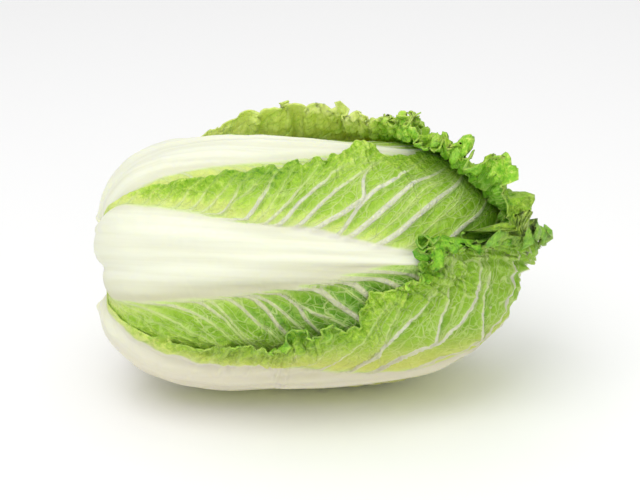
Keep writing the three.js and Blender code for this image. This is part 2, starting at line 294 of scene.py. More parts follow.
INNER_WIDTH: Points = ((9, 12), (20, 25), (35, 36), (60, 46), (90, 54), (120, 62), (140, 60))


def inner_margin(tip: float) -> Margin:
    """The side of a leaf of the inner whorl, which is narrower and plainer."""
    return Margin(width=INNER_WIDTH + ((tip, 13),), lift=((9, 0), (90, 1.5), (tip, 6)))


@dataclass(frozen=True)
class LeafSizes:
    """Where one leaf grows, in degrees, how far it reaches and how its two sides are.

    Phase shifts the waves of its edges, and shingle is how far the blade swells from each side
    vein to the next, in millimetres. Green is how green the blade is by polar angle.
    """

    name: str
    azimuth: float
    tip: float
    phase: float
    up: Margin
    down: Margin
    lean: float = 0.0
    rows: int = 110
    columns: int = 64
    seed: int = 1
    green: Points = ((9, 0.1), (60, 0.25), (120, 0.4), (170, 0.7))
    shingle: float = 0.6


RIB_HALF_WIDTH = Curve((
    (9, 11), (16, 20), (24, 29), (34, 31), (50, 28), (69, 23.5), (90, 19), (111, 13), (128, 7.2),
    (143, 4), (155, 2.4), (195, 1.2)))
RIB_THICKNESS = Curve((
    (9, 8), (18, 9), (30, 8.2), (50, 7), (90, 5.4), (128, 3.6), (155, 2.2), (195, 1.2)))

LEAVES: tuple[LeafSizes, ...] = (
    LeafSizes(
        name="leaf_lower_front", azimuth=-51, lean=2.5, tip=186, phase=0.6,
        rows=340, columns=140, seed=11, shingle=3.2,
        green=((9, -0.3), (28, 0), (60, 0.25), (110, 0.3), (140, 0.5), (189, 0.6)),
        up=Margin(
            width=((9, 13), (20, 32), (35, 47), (52, 52), (60, 55), (75, 55), (84, 64),
                   (96, 64), (106, 69), (112, 64), (120, 66), (126, 80), (132, 90),
                   (137, 98), (145, 98), (152, 105), (157, 102), (164, 111), (170, 119),
                   (174, 117), (178, 96), (181, 66), (184, 36), (186, 12)),
            lift=((9, -0.4), (35, -0.8), (52, 1), (70, 5), (100, 7), (115, 4), (140, 3),
                  (160, 5), (170, 8), (176, 10), (181, 11), (186, 12)),
            ruffle=((9, 0), (20, 0.5), (32, 1.6), (60, 3.4), (90, 4.4), (115, 2.4), (140, 2),
                    (158, 5), (168, 9.5), (186, 11)),
            curl=((9, 0), (40, 0), (70, 3), (95, 8), (115, 3), (140, 2), (158, 5), (168, 9),
                  (186, 6)),
            crumple=((9, 0), (16, 0.8), (30, 2.0), (70, 1.5), (100, 0.9), (130, 1.0),
                     (160, 2), (189, 2.4)),
            tint=((9, -0.3), (28, 0.3), (45, 0.8), (90, 0.9), (115, 0.5), (145, 0.4),
                  (165, 0.8), (186, 1.0)),
            trim=((9, 0), (28, -5), (38, -7), (60, -8), (75, -4), (84, 0), (115, 0),
                  (126, -3), (135, -5), (147, -3), (160, 0)),
            veins=(
                ((0, 75, 0.5), (24, 84, 0.4), (50, 92, 0.2)),
                ((0, 90, 0.35), (30, 91, 0.3), (60, 92, 0.2)),
                ((0, 98, 0.5), (30, 97, 0.4), (60, 98, 0.2)),
                ((0, 106, 0.5), (30, 108, 0.4), (60, 111, 0.2)),
                ((0, 119, 0.6), (30, 120, 0.5), (60, 124, 0.2)),
                ((0, 126, 0.6), (34, 129, 0.5), (60, 134, 0.3)),
                ((0, 142, 0.8), (22, 147, 0.7), (35, 152, 0.6), (60, 162, 0.3)),
                ((0, 143.2, 0.3), (22, 148.2, 0.3), (35, 153.2, 0.5), (46, 168, 0.4),
                 (62, 186, 0.2)),
                ((0, 153, 0.8), (15, 157, 0.7), (28, 163, 0.6), (49, 178, 0.5), (66, 195, 0.3)),
                ((0, 167, 1.1), (20, 176, 0.9), (36, 186, 0.8), (47, 196, 0.7), (63, 212, 0.6),
                 (75, 228, 0.4)),
                ((0, 184, 0.4), (14, 191, 0.4), (37, 204, 0.4), (46, 212, 0.6), (58, 220, 0.5),
                 (72, 236, 0.3)),
                ((0, 185, 1.6), (14, 193, 1.6), (37, 206, 1.5), (48, 216, 1.4), (58, 228, 1.2),
                 (69, 250, 0.9), (77, 265, 0.7), (92, 292, 0.3)),
                ((0, 197, 0.7), (25, 216, 1.6), (36, 231, 1.5), (41, 243.5, 1.3),
                 (47, 247, 1.2), (60, 258, 1.0), (69, 271, 0.8), (78, 283, 0.7), (90, 303, 0.3)),
                ((0, 199, 1.7), (5, 202, 1.8), (25, 218, 1.9), (36, 233, 1.8), (41, 246, 1.6),
                 (51, 262, 1.5), (56, 274, 1.4), (60, 286, 1.2), (65, 298, 0.9), (80, 322, 0.4)),
                ((0, 218, 0.7), (12, 231, 1.7), (17, 243, 1.6), (21, 260, 1.5), (24, 268, 1.3),
                 (33, 272, 1.1), (48, 280, 1.0), (54, 288, 0.8), (61, 301, 0.7), (76, 330, 0.3)),
                ((0, 220, 1.6), (12, 233, 1.8), (17, 246, 1.8), (21, 263, 1.7), (24, 280, 1.6),
                 (28, 294, 1.5), (34, 306, 1.3), (40, 318, 1.1), (46, 330, 0.9), (60, 352, 0.5)),
                ((0, 262, 1.6), (8, 285, 1.7), (14, 308, 1.6), (20, 328, 1.3), (30, 350, 0.8)))),
        down=Margin(
            width=((9, 13), (20, 27), (35, 37), (60, 52), (90, 68), (120, 78), (145, 78),
                   (165, 62), (176, 42), (182, 26), (186, 9)),
            lift=((9, 0), (60, 0.5), (120, 0.5), (165, 5), (186, 14)),
            ruffle=((9, 0), (90, 0.4), (150, 2), (186, 5)),
            sweep=(-0.6, 0.009))),
    LeafSizes(
        name="leaf_back", azimuth=163, tip=212, phase=2.1,
        rows=344, columns=142, seed=23, shingle=1.0,
        # The palest greens here are partly the blade's own pale colour and partly painted light,
        # standing in for light shining through the thin raised frill.
        green=((9, -0.4), (45, -0.8), (112, -0.6), (132, -0.1), (146, 0.35), (165, 0.6),
               (199, 0.75)),
        up=Margin(
            width=((9, 13), (20, 27), (35, 36), (60, 50), (90, 62), (120, 72), (145, 76),
                   (165, 66), (180, 50), (195, 34), (206, 20), (212, 9)),
            lift=((9, 0), (35, 1), (60, 2), (120, 4), (165, 7), (203, 10), (212, 8)),
            ruffle=((9, 0), (45, 1), (90, 2.4), (199, 4.2)),
            curl=((9, 0), (60, 3), (120, 6), (199, 8))),
        down=Margin(
            width=((9, 13), (20, 27), (35, 38), (45, 46), (60, 58), (90, 72), (120, 87),
                   (145, 107), (157, 118), (165, 129), (171, 134), (177, 127), (184, 114),
                   (190, 101), (196, 86), (202, 60), (207, 34), (212, 12)),
            lift=((9, 0), (40, 0.5), (52, 4), (66, 9), (82, 13), (96, 16), (112, 15),
                  (127, 12), (145, 12), (155, 14), (162, 17), (168, 21), (174, 21), (180, 19),
                  (185, 21), (190, 29), (196, 38), (203, 29), (212, 8)),
            ruffle=((9, 0), (40, 0.8), (60, 2.2), (100, 2.4), (120, 3), (140, 5.2),
                    (157, 8), (172, 9), (182, 10), (190, 12), (198, 11), (204, 5), (212, 2)),
            curl=((9, 0), (46, 3), (56, 12), (66, 17), (110, 16), (126, 11), (140, 8),
                  (150, 8), (162, 10), (174, 5), (199, 4)),
            bend=((9, 3), (46, 3), (58, 11), (112, 12), (128, 10), (145, 5), (199, 3)),
            crumple=((9, 0), (60, 0.5), (100, 0.8), (115, 1.4), (130, 2.2), (140, 2.8),
                     (170, 3), (193, 3.4), (202, 1.5), (212, 0.4)),
            # Partly painted light: the frill's palest tint stands in for light shining through
            # it.
            tint=((9, -0.3), (45, -0.9), (115, -0.9), (132, -0.5), (146, 0), (160, 0.3),
                  (175, 0.5), (199, 0.6)))),
    LeafSizes(
        name="leaf_front", azimuth=25, lean=3, tip=173, phase=1.2,
        rows=330, columns=134, seed=37, shingle=1.5,
        green=((9, -0.4), (25, -0.3), (50, -0.15), (85, 0.15), (120, 0.3), (166, 0.5)),
        up=Margin(
            width=((9, 13), (20, 29), (35, 44), (44, 49), (56, 54), (66, 58), (77, 58),
                   (88, 63), (100, 66), (110, 70), (133, 89), (140, 84), (149, 86), (158, 74),
                   (166, 54), (173, 18)),
            lift=((9, 0), (30, 1), (45, 2), (90, 3.5), (133, 4.5), (150, 7), (164, 13),
                  (173, 16)),
            ruffle=((9, 0), (20, 0.3), (35, 0.9), (60, 1.2), (90, 1.6), (128, 2.4), (140, 4),
                    (150, 5.5), (164, 8), (173, 8)),
            curl=((9, 0), (60, 1), (95, 2), (133, 3), (166, 5)),
            crumple=((9, 0), (20, 0.6), (35, 1.3), (80, 1.5), (105, 1.0), (166, 0.8)),
            tint=((9, -0.2), (30, 0.2), (45, 0.6), (75, 0.9), (100, 0.5), (140, 0.3),
                  (152, 0.8), (173, 1.1)),
            trim=((9, 0), (45, 1), (60, 2), (75, 1), (88, -2), (100, -4), (112, -3),
                  (128, -3), (142, -4), (152, -1)),
            veins=(
                ((0, 76, 0.6), (15, 80, 0.5), (40, 88, 0.2)),
                ((0, 86, 0.7), (15, 91, 0.55), (40, 99, 0.2)),
                ((0, 94, 0.7), (15, 101, 0.55), (40, 110, 0.2)),
                ((0, 104, 0.9), (10, 108.5, 0.8), (22, 111, 0.5), (40, 116, 0.2)),
                ((0, 105, 0.3), (10, 109.5, 0.4), (16, 116, 0.6), (22, 120, 0.5),
                 (40, 130, 0.2)),
                ((0, 120, 1.1), (15, 127, 1.0), (24, 130, 0.8), (45, 139, 0.3)),
                ((0, 127, 0.3), (20, 138, 0.4), (45, 148, 0.2)),
                ((0, 133, 0.9), (16, 145, 0.8), (29, 154, 0.6), (50, 170, 0.3)),
                ((0, 141, 1.2), (15, 151, 1.15), (30, 165, 1.0), (46, 181, 0.7),
                 (65, 202, 0.3)),
                ((0, 151, 1.1), (14, 162, 1.1), (33, 179, 0.9), (50, 198, 0.7), (70, 223, 0.3)),
                ((0, 161, 1.4), (7, 168, 1.5), (17, 181, 1.6), (24, 189, 1.6), (30, 195, 1.4),
                 (41, 197, 1.1), (51, 202, 0.8), (65, 214, 0.4)),
                ((0, 177, 0.9), (12, 184, 1.1), (23, 191, 1.1), (30, 196.5, 1.4), (40, 207, 1.4),
                 (51, 224, 1.1), (66, 246, 0.5)),
                ((0, 183, 1.5), (9, 191, 1.8), (17, 199, 1.8), (27, 208, 1.7), (43, 227, 1.4),
                 (59, 255, 0.9), (75, 284, 0.4)),
                ((0, 194, 0.3), (20, 213, 0.4), (45, 240, 0.4), (62, 270, 0.2)),
                ((0, 201, 1.7), (12, 214, 1.8), (24, 227, 1.7), (42, 250, 1.3), (51, 266, 1.0),
                 (66, 292, 0.4)),
                ((0, 217, 0.3), (20, 236, 0.4), (40, 260, 0.3)),
                ((0, 233, 1.4), (14, 249, 1.5), (22, 258, 1.3), (30, 269, 1.0), (45, 291, 0.4)),
                ((0, 262, 0.6), (20, 284, 0.5), (40, 306, 0.2)))),
        down=Margin(
            width=((9, 13), (14, 27), (20, 41), (35, 57), (50, 66), (65, 68), (90, 70),
                   (120, 71), (140, 68), (155, 52), (166, 36), (173, 14)),
            lift=((9, 0), (40, 1), (90, 3), (130, 4), (160, 9), (173, 16)),
            ruffle=((9, 0), (20, 0.4), (35, 1.5), (60, 2.6), (120, 2.6), (160, 5), (173, 8)),
            crumple=((9, 0), (16, 0.6), (28, 2.0), (60, 2.2), (95, 1.6), (120, 0.9), (166, 0.7)),
            tint=((9, -0.2), (30, 0.3), (45, 0.6), (120, 0.8), (166, 0.9)),
            # This lower side lies in shadow: its green is deepened and its side of the rib
            # greyed, both painted shade.
            deep=0.7,
            lower_rib_shade=0.75,
            trim=((9, 0), (34, 3), (55, 2), (85, 2), (100, 4.5), (112, 6), (126, 7), (142, 4),
                  (160, 1)),
            veins=(
                ((0, 54, 0.7), (6, 66, 0.6), (14, 76, 0.5), (40, 104, 0.2)),
                ((0, 74, 0.9), (6, 85, 0.8), (16, 98, 0.5), (45, 118, 0.2)),
                ((0, 92, 0.9), (6, 98, 0.9), (15, 106, 0.7), (25, 112, 0.5), (50, 130, 0.2)),
                ((0, 99, 0.7), (10, 105.5, 0.7), (25, 114, 0.5), (50, 134, 0.2)),
                ((0, 110, 0.9), (12, 121, 0.9), (25, 134, 0.6), (50, 154, 0.2)),
                ((0, 124, 1.2), (13, 134, 1.2), (30, 147, 0.8), (55, 170, 0.3)),
                ((0, 127, 0.9), (7, 136, 0.9), (19, 149, 0.8), (40, 168, 0.3)),
                ((0, 144.5, 1.3), (4, 148, 1.4), (10, 153, 1.3), (19, 158, 1.1), (28, 166, 0.8),
                 (50, 188, 0.3)),
                ((0, 145.5, 0.3), (4, 149, 0.4), (10, 154, 0.7), (17, 164, 0.9), (24, 177, 0.7),
                 (45, 206, 0.3)),
                ((0, 167, 1.7), (13, 180, 1.8), (27, 196, 1.5), (50, 222, 0.6)),
                ((0, 180, 0.3), (20, 203, 0.4), (45, 230, 0.2)),
                ((0, 188, 1.8), (10, 198, 1.7), (25, 214, 1.1), (50, 240, 0.4)),
                ((0, 204, 1.7), (6, 214, 1.6), (20, 232, 1.0), (45, 260, 0.4)),
                ((0, 226, 1.1), (20, 247, 0.8), (45, 275, 0.3)),
                ((0, 250, 0.7), (30, 280, 0.4))))),
    LeafSizes(
        name="leaf_lower_back", azimuth=-123, tip=170, phase=4.4,
        rows=230, columns=96, seed=41,
        up=Margin(
            width=((9, 13), (20, 27), (35, 36), (60, 50), (90, 60), (120, 66), (145, 62),
                   (160, 46), (170, 16)),
            lift=((9, 0), (90, 1), (170, 6))),
        down=Margin(
            width=((9, 13), (20, 27), (35, 38), (60, 53), (90, 64), (120, 72), (145, 68),
                   (160, 46), (170, 16)),
            lift=((9, 0), (60, 2), (120, 3), (170, 7)),
            ruffle=((9, 0), (45, 1), (90, 2.2), (170, 3)),
            curl=((9, 0), (60, 2), (120, 4), (170, 4)))),
    LeafSizes(
        name="leaf_top", azimuth=88, lean=3, tip=163, phase=3.3,
        rows=250, columns=104, seed=53,
        green=((9, -0.4), (60, -0.5), (100, -0.2), (120, 0.15), (163, 0.5)),
        up=Margin(
            width=((9, 13), (20, 27), (35, 36), (60, 50), (90, 58), (120, 64), (145, 60),
                   (163, 14)),
            lift=((9, 0), (90, 2), (163, 6))),
        down=Margin(
            width=((9, 13), (20, 27), (35, 37), (60, 50), (90, 58), (120, 64), (145, 60),
                   (163, 14)),
            lift=((9, 0), (90, 2), (163, 6)),
            trim=((9, 0), (52, 0), (66, 1), (80, 3), (95, 4), (105, 4), (120, 3), (163, 2)),
            tint=((9, -0.4), (60, -0.6), (100, -0.2), (163, 0.4)),
            sweep=(-0.2, 0.008))),
    LeafSizes(name="inner_leaf_top_front", azimuth=57, tip=160, phase=0.2, seed=61,
              up=inner_margin(160), down=inner_margin(160)),
    LeafSizes(name="inner_leaf_under", azimuth=-87, tip=158, phase=1.9, seed=67,
              up=inner_margin(158), down=inner_margin(158)),
    LeafSizes(name="inner_leaf_top_back", azimuth=129, tip=161, phase=3.0, seed=71,
              up=inner_margin(161), down=inner_margin(161)),
    LeafSizes(name="inner_leaf_front", azimuth=-13, tip=159, phase=4.1, seed=73,
              up=inner_margin(159), down=inner_margin(159)),
    LeafSizes(name="inner_leaf_low_back", azimuth=-159, tip=160, phase=5.5, seed=79,
              up=inner_margin(160), down=inner_margin(160)),
)


# ---------------------------------------------------------------------------------------------
# One leaf
# ---------------------------------------------------------------------------------------------


@dataclass
class Leaf:
    """A leaf's outline, and how far out it was laid, as shares of the heart's radius.

    Heights and lengths are in millimetres. The blade's edge waves with a wave length and is
    scalloped, and from a polar angle on it is lobed in two sizes.
    """

    sizes: LeafSizes
    head: Head
    layer: int
    start: float = 9.6 * DEG
    step_count: int = 1600
    blade: float = 0.9
    gap: float = 1.1
    midrib_height: float = 12.0
    mean_height: float = 10.0
    mean_radius: float = 95.0
    wave_length: float = 23.0
    uneven_length: float = 38.0
    scallop: float = 2.0
    lobed_from: tuple[float, float] = (28.0, 60.0)
    lobe_sizes: tuple[float, float] = (9.0, 4.1)
    lobe_depths: tuple[float, float] = (3.2, 1.3)
    lobe_level: float = 2.2
    foot_share: float = 0.35
    rib_round: float = 0.8
    tip_crowding: float = 0.07
    edge_band: float = 12.0
    wave_limit: float = 3.2
    cover: float = 0.035
    share: Array | None = None

    def __post_init__(self) -> None:
        """Sets the leaf's own directions, its outlines and its length tables."""
        azimuth, lean = self.sizes.azimuth * DEG, self.sizes.lean * DEG
        side = azimuth_direction(azimuth + math.pi / 2)
        stem = np.array((-1.0, 0.0, 0.0))
        self.rib = azimuth_direction(azimuth)
        self.origin = stem * math.cos(lean) + side * math.sin(lean)
        self.side = side * math.cos(lean) - stem * math.sin(lean)
        self.tip = self.sizes.tip * DEG
        self.steps = np.linspace(self.start, self.tip, self.step_count)
        midrib = self.head.radius(self.direction(self.steps, 0 * self.steps))
        midrib = midrib + self.midrib_height
        rise = np.gradient(midrib, self.steps)
        pace = np.sqrt(midrib ** 2 + rise ** 2) * np.gradient(self.steps)
        self.length = np.concatenate(((0,), np.cumsum(pace)[:-1]))
        self.midrib = midrib
        self.outlines = {sign: self._outline(sign) for sign in (1, -1)}

    def margin(self, sign: int) -> Margin:
        """The upper side of the blade for 1, and the lower for -1."""
        return self.sizes.up if sign > 0 else self.sizes.down

    def by_side(self, across: Array, read: Callable[[int], Array]) -> Array:
        """Reads one value for the upper side of the blade and another for the lower."""
        return np.where(across > 0, read(1), read(-1))

    def direction(self, along: Array, across: Array) -> Array:
        """Unit vectors from the middle of the head.

        Args:
            along: angles from the stem over the midrib.
            across: angles to the side of it.

        Returns:
            The vectors, with three numbers in the last place.
        """
        level = (np.cos(along)[..., None] * self.origin + np.sin(along)[..., None] * self.rib)
        return np.cos(across)[..., None] * level + np.sin(across)[..., None] * self.side

    def locate(self, directions: Array) -> tuple[Array, Array]:
        """The leaf's along and across for some directions, the reverse of direction."""
        across = np.arcsin(np.clip(directions @ self.side, -1, 1))
        along = np.arctan2(directions @ self.rib, directions @ self.origin)
        return np.where(along < -math.pi / 2, along + 2 * math.pi, along), across

    def wave(self, along: Array, sign: int) -> Array:
        """The long waves of an edge, from -1 to 1.

        Args:
            along: angles along the leaf.
            sign: which edge, 1 for the upper.

        Returns:
            The waves at each angle.
        """
        turn = 2 * math.pi * along * self.mean_radius / self.wave_length
        phase = self.sizes.phase + (0 if sign > 0 else 2.4)
        uneven = 0.7 + 0.7 * lattice_noise(
            along * self.mean_radius / self.uneven_length, 0 * along, self.sizes.seed + 3)
        return uneven * (0.62 * np.sin(turn + phase) + 0.38 * np.sin(1.63 * turn + 2.1 * phase))

    def _outline(self, sign: int) -> Array:
        """Half widths, as angles, at each of the leaf's steps on one side.

        Args:
            sign: which side, 1 for the upper.

        Returns:
            One half width for each step.
        """
        polar = self.steps / DEG
        fade = smooth_step(*self.lobed_from, polar)
        wide, narrow = (depth * np.sqrt(np.abs(lattice_noise(
            self.length / size, 0 * polar + 0.37 * sign, self.sizes.seed + k)) + 0.01)
            for k, (size, depth) in enumerate(zip(self.lobe_sizes, self.lobe_depths)))
        lobes = wide + narrow - self.lobe_level
        width = Curve(self.margin(sign).width)(polar)
        notched = width + fade * (self.scallop * self.wave(self.steps, sign) + lobes)
        return notched / (self.midrib - 2)

    def half_width(self, along: Array, across: Array) -> Array:
        """The blade's half width, as an angle, on the side that across lies on."""
        return self.by_side(across, lambda sign: np.interp(
            along, self.steps, self.outlines[sign]))

    def depth_inside(self, directions: Array) -> Array:
        """How far inside the outline directions are, in millimetres, negative outside it.

        Args:
            directions: unit vectors from the middle of the head.

        Returns:
            One depth for each.
        """
        along, across = self.locate(directions)
        held = np.clip(along, self.start, self.tip)
        side = self.half_width(held, across) - np.abs(across)
        inside = np.minimum(np.minimum(side, self.tip - along), along - self.start)
        return inside * (self.head.radius(directions) + self.mean_height)

    def thickness(self, along: Array, across: Array) -> Array:
        """The leaf's thickness square to its face, in millimetres.

        Args:
            along: angles along the leaf.
            across: angles to its side.

        Returns:
            The thickness at each point.
        """
        polar = along / DEG
        radius = np.interp(along, self.steps, self.midrib)
        share = np.minimum(1, np.abs(across) * radius / RIB_HALF_WIDTH(polar))
        rib = np.maximum(0, RIB_THICKNESS(polar) - self.blade)
        edge = (self.half_width(along, across) - np.abs(across)) * radius
        rib = rib * smooth_step(-1, 6, edge) * (
            self.foot_share + (1 - self.foot_share) * smooth_step(
                -1, 7, (along - self.start) * radius))
        return self.blade + rib * (1 - share ** 2) ** self.rib_round

    def shares(self, rows: int, columns: int) -> tuple[Array, Array]:
        """The grid's own shares of the length, and of the half width from -1 to 1."""
        u = np.linspace(0, 1, rows)
        v = np.linspace(-1, 1, columns)
        return u, 0.5 * v + 0.5 * np.sin(v * math.pi / 2)

    def along_at(self, u: Array) -> Array:
        """Angles along the leaf for shares of its length, closer together near the tip."""
        reach = u + self.tip_crowding * np.sin(math.pi * u)
        return np.interp(reach * self.length[-1], self.length, self.steps)

    def grid(self, u: Array, t: Array) -> tuple[Array, Array]:
        """Along and across at each crossing of a grid of shares."""
        along = np.repeat(self.along_at(u)[:, None], len(t), axis=1)
        share = np.repeat(t[None, :], len(u), axis=0)
        return along, share * self.half_width(along, share)

    def outer_share(self, directions: Array) -> Array:
        """How far out the laid leaf reaches, as a share of the heart's radius, or 0 off it.

        Args:
            directions: unit vectors from the middle of the head.

        Returns:
            One share for each.
        """
        along, across = self.locate(directions)
        rows, columns = self.share.shape
        reach = np.clip(along, self.start, self.tip)
        half = self.half_width(reach, across)
        on_leaf = ((along > self.start - self.cover) & (along < self.tip + self.cover)
                   & (np.abs(across) < half + self.cover))
        u, t = self.shares(rows, columns)
        row = np.interp(reach, self.along_at(u), np.arange(rows))
        column = np.interp(np.clip(across / half, -1, 1), t, np.arange(columns))
        return np.where(on_leaf, sampled(self.share, row, column), 0)


def sampled(grid: Array, row: Array, column: Array) -> Array:
    """Reads a grid between its points.

    Args:
        grid: the values.
        row: places along the first axis, in steps of the grid.
        column: places along the second.

    Returns:
        The values there, mixed from the four round each place.
    """
    i = np.clip(np.floor(row).astype(int), 0, grid.shape[0] - 2)
    j = np.clip(np.floor(column).astype(int), 0, grid.shape[1] - 2)
    a, b = row - i, column - j
    return ((1 - a) * ((1 - b) * grid[i, j] + b * grid[i, j + 1])
            + a * ((1 - b) * grid[i + 1, j] + b * grid[i + 1, j + 1]))


def blurred(grid: Array, times: int = 1) -> Array:
    """A grid softened over its nearest points, some number of times.

    Args:
        grid: the values.
        times: how often they are softened.

    Returns:
        The softened grid.
    """
    for _ in range(times):
        edge = np.pad(grid, 1, mode="edge")
        grid = (2 * grid + edge[:-2, 1:-1] + edge[2:, 1:-1] + edge[1:-1, :-2]
                + edge[1:-1, 2:]) / 6
    return grid


def highest_round(grid: Array, reach: int) -> Array:
    """The highest of the points within some steps of each one of a grid.

    Args:
        grid: the values.
        reach: how many steps to look each way.

    Returns:
        A grid of the same size.
    """
    for axis in (0, 1):
        pad = [(reach, reach) if a == axis else (0, 0) for a in (0, 1)]
        wide = np.pad(grid, pad, mode="edge")
        size = grid.shape[axis]
        grid = np.max([np.take(wide, range(k, k + size), axis=axis)
                       for k in range(2 * reach + 1)], axis=0)
    return grid


@dataclass
class Pile:
    """The leaves laid so far, from the heart outwards.

    A leaf bridges what is under it, less so near its own edge, where the gap under it is also
    smaller. It counts as shown from a distance outside the leaves over it.
    """

    head: Head
    leaves: list[Leaf]
    laid: list[Leaf] = field(default_factory=list)
    coarse_rows: int = 121
    coarse_columns: int = 81
    bridge_rounds: int = 7
    bridge_from_edge: float = 16.0
    shown_from: tuple[float, float] = (1.0, 9.0)
    edge_gap: float = 0.4
    edge_gap_reach: float = 8.0

    def top(self, directions: Array) -> Array:
        """How far out the pile reaches in some directions, as a share of the heart's radius.

        Args:
            directions: unit vectors from the middle of the head.

        Returns:
            One share for each.
        """
        radius = self.head.radius(directions)
        highest = (radius + self.head.relief(directions)) / radius
        for leaf in self.laid:
            highest = np.maximum(highest, leaf.outer_share(directions))
        return highest

    def seat(self, leaf: Leaf, rows: int, columns: int) -> Array:
        """The surface that a leaf lies on, softened as a leaf bridges what is under it.

        Args:
            leaf: the leaf to lay.
            rows: rows of its grid.
            columns: columns of its grid.

        Returns:
            A grid of shares of the heart's radius.
        """
        u, t = leaf.shares(self.coarse_rows, self.coarse_columns)
        along, across = leaf.grid(u, t)
        directions = leaf.direction(along, across)
        under = highest_round(self.top(directions), 1)
        seat = highest_round(under, 1)
        for _ in range(self.bridge_rounds):
            seat = np.maximum(blurred(seat, 2), under)
        inward = smooth_step(0, self.bridge_from_edge, leaf.depth_inside(directions))
        seat = blurred(under + (seat - under) * inward, 2)
        fine_u, fine_t = leaf.shares(rows, columns)
        row = np.repeat((fine_u * (self.coarse_rows - 1))[:, None], columns, axis=1)
        column = np.repeat(np.interp(fine_t, t, np.arange(len(t)))[None, :], rows, axis=0)
        return blurred(sampled(seat, row, column), 3)

    def shown(self, leaf: Leaf, directions: Array) -> Array:
        """How much of the leaf no outer leaf covers, from 0 under one to 1 in the open.

        Args:
            leaf: the leaf.
            directions: unit vectors to the points of its grid.

        Returns:
            One share for each point.
        """
        bare = np.ones(directions.shape[:-1])
        for other in self.leaves:
            if other.layer < leaf.layer:
                outside = -other.depth_inside(directions)
                bare = np.minimum(bare, smooth_step(*self.shown_from, outside))
        return bare

    def lay(self, leaf: Leaf) -> tuple[Array, "Surface"]:
        """Lays a leaf on the pile.

        Args:
            leaf: the leaf, whose share this fills.

        Returns:
            Its outer face as a grid of points in metres, and the surface that made it.
        """
        rows, columns = leaf.sizes.rows, leaf.sizes.columns
        along, across = leaf.grid(*leaf.shares(rows, columns))
        directions = leaf.direction(along, across)
        radius = self.head.radius(directions)
        bare = self.shown(leaf, directions)
        surface = Surface(leaf, along, across, directions, bare)
        near_edge = bare * np.exp(-surface.to_edge / self.edge_gap_reach)
        gap = leaf.gap * (1 - (1 - self.edge_gap) * near_edge)
        under = self.seat(leaf, rows, columns) * radius + gap + surface.lift()
        points = surface.formed(under)
        leaf.share = surface.base / radius
        self.laid.append(leaf)
        return self.head.placed(self.head.tucked(points)), surface


@dataclass(frozen=True)
class Ruffle:
    """One size of fold along a free edge.

    Length is from fold to fold and depth how far in the folds fade, in millimetres. Share is
    their part of the margin's ruffle, and outward how much further they go out than in. Slip is
    how far a fold bulges along the edge, as a share of its length.
    """

    length: float
    depth: float
    share: float
    outward: float = 0.0
    slip: float = 0.085


RUFFLES = (Ruffle(27.0, 16.0, 0.8, outward=0.3), Ruffle(12.5, 9.0, 0.42), Ruffle(6.4, 5.0, 0.1))


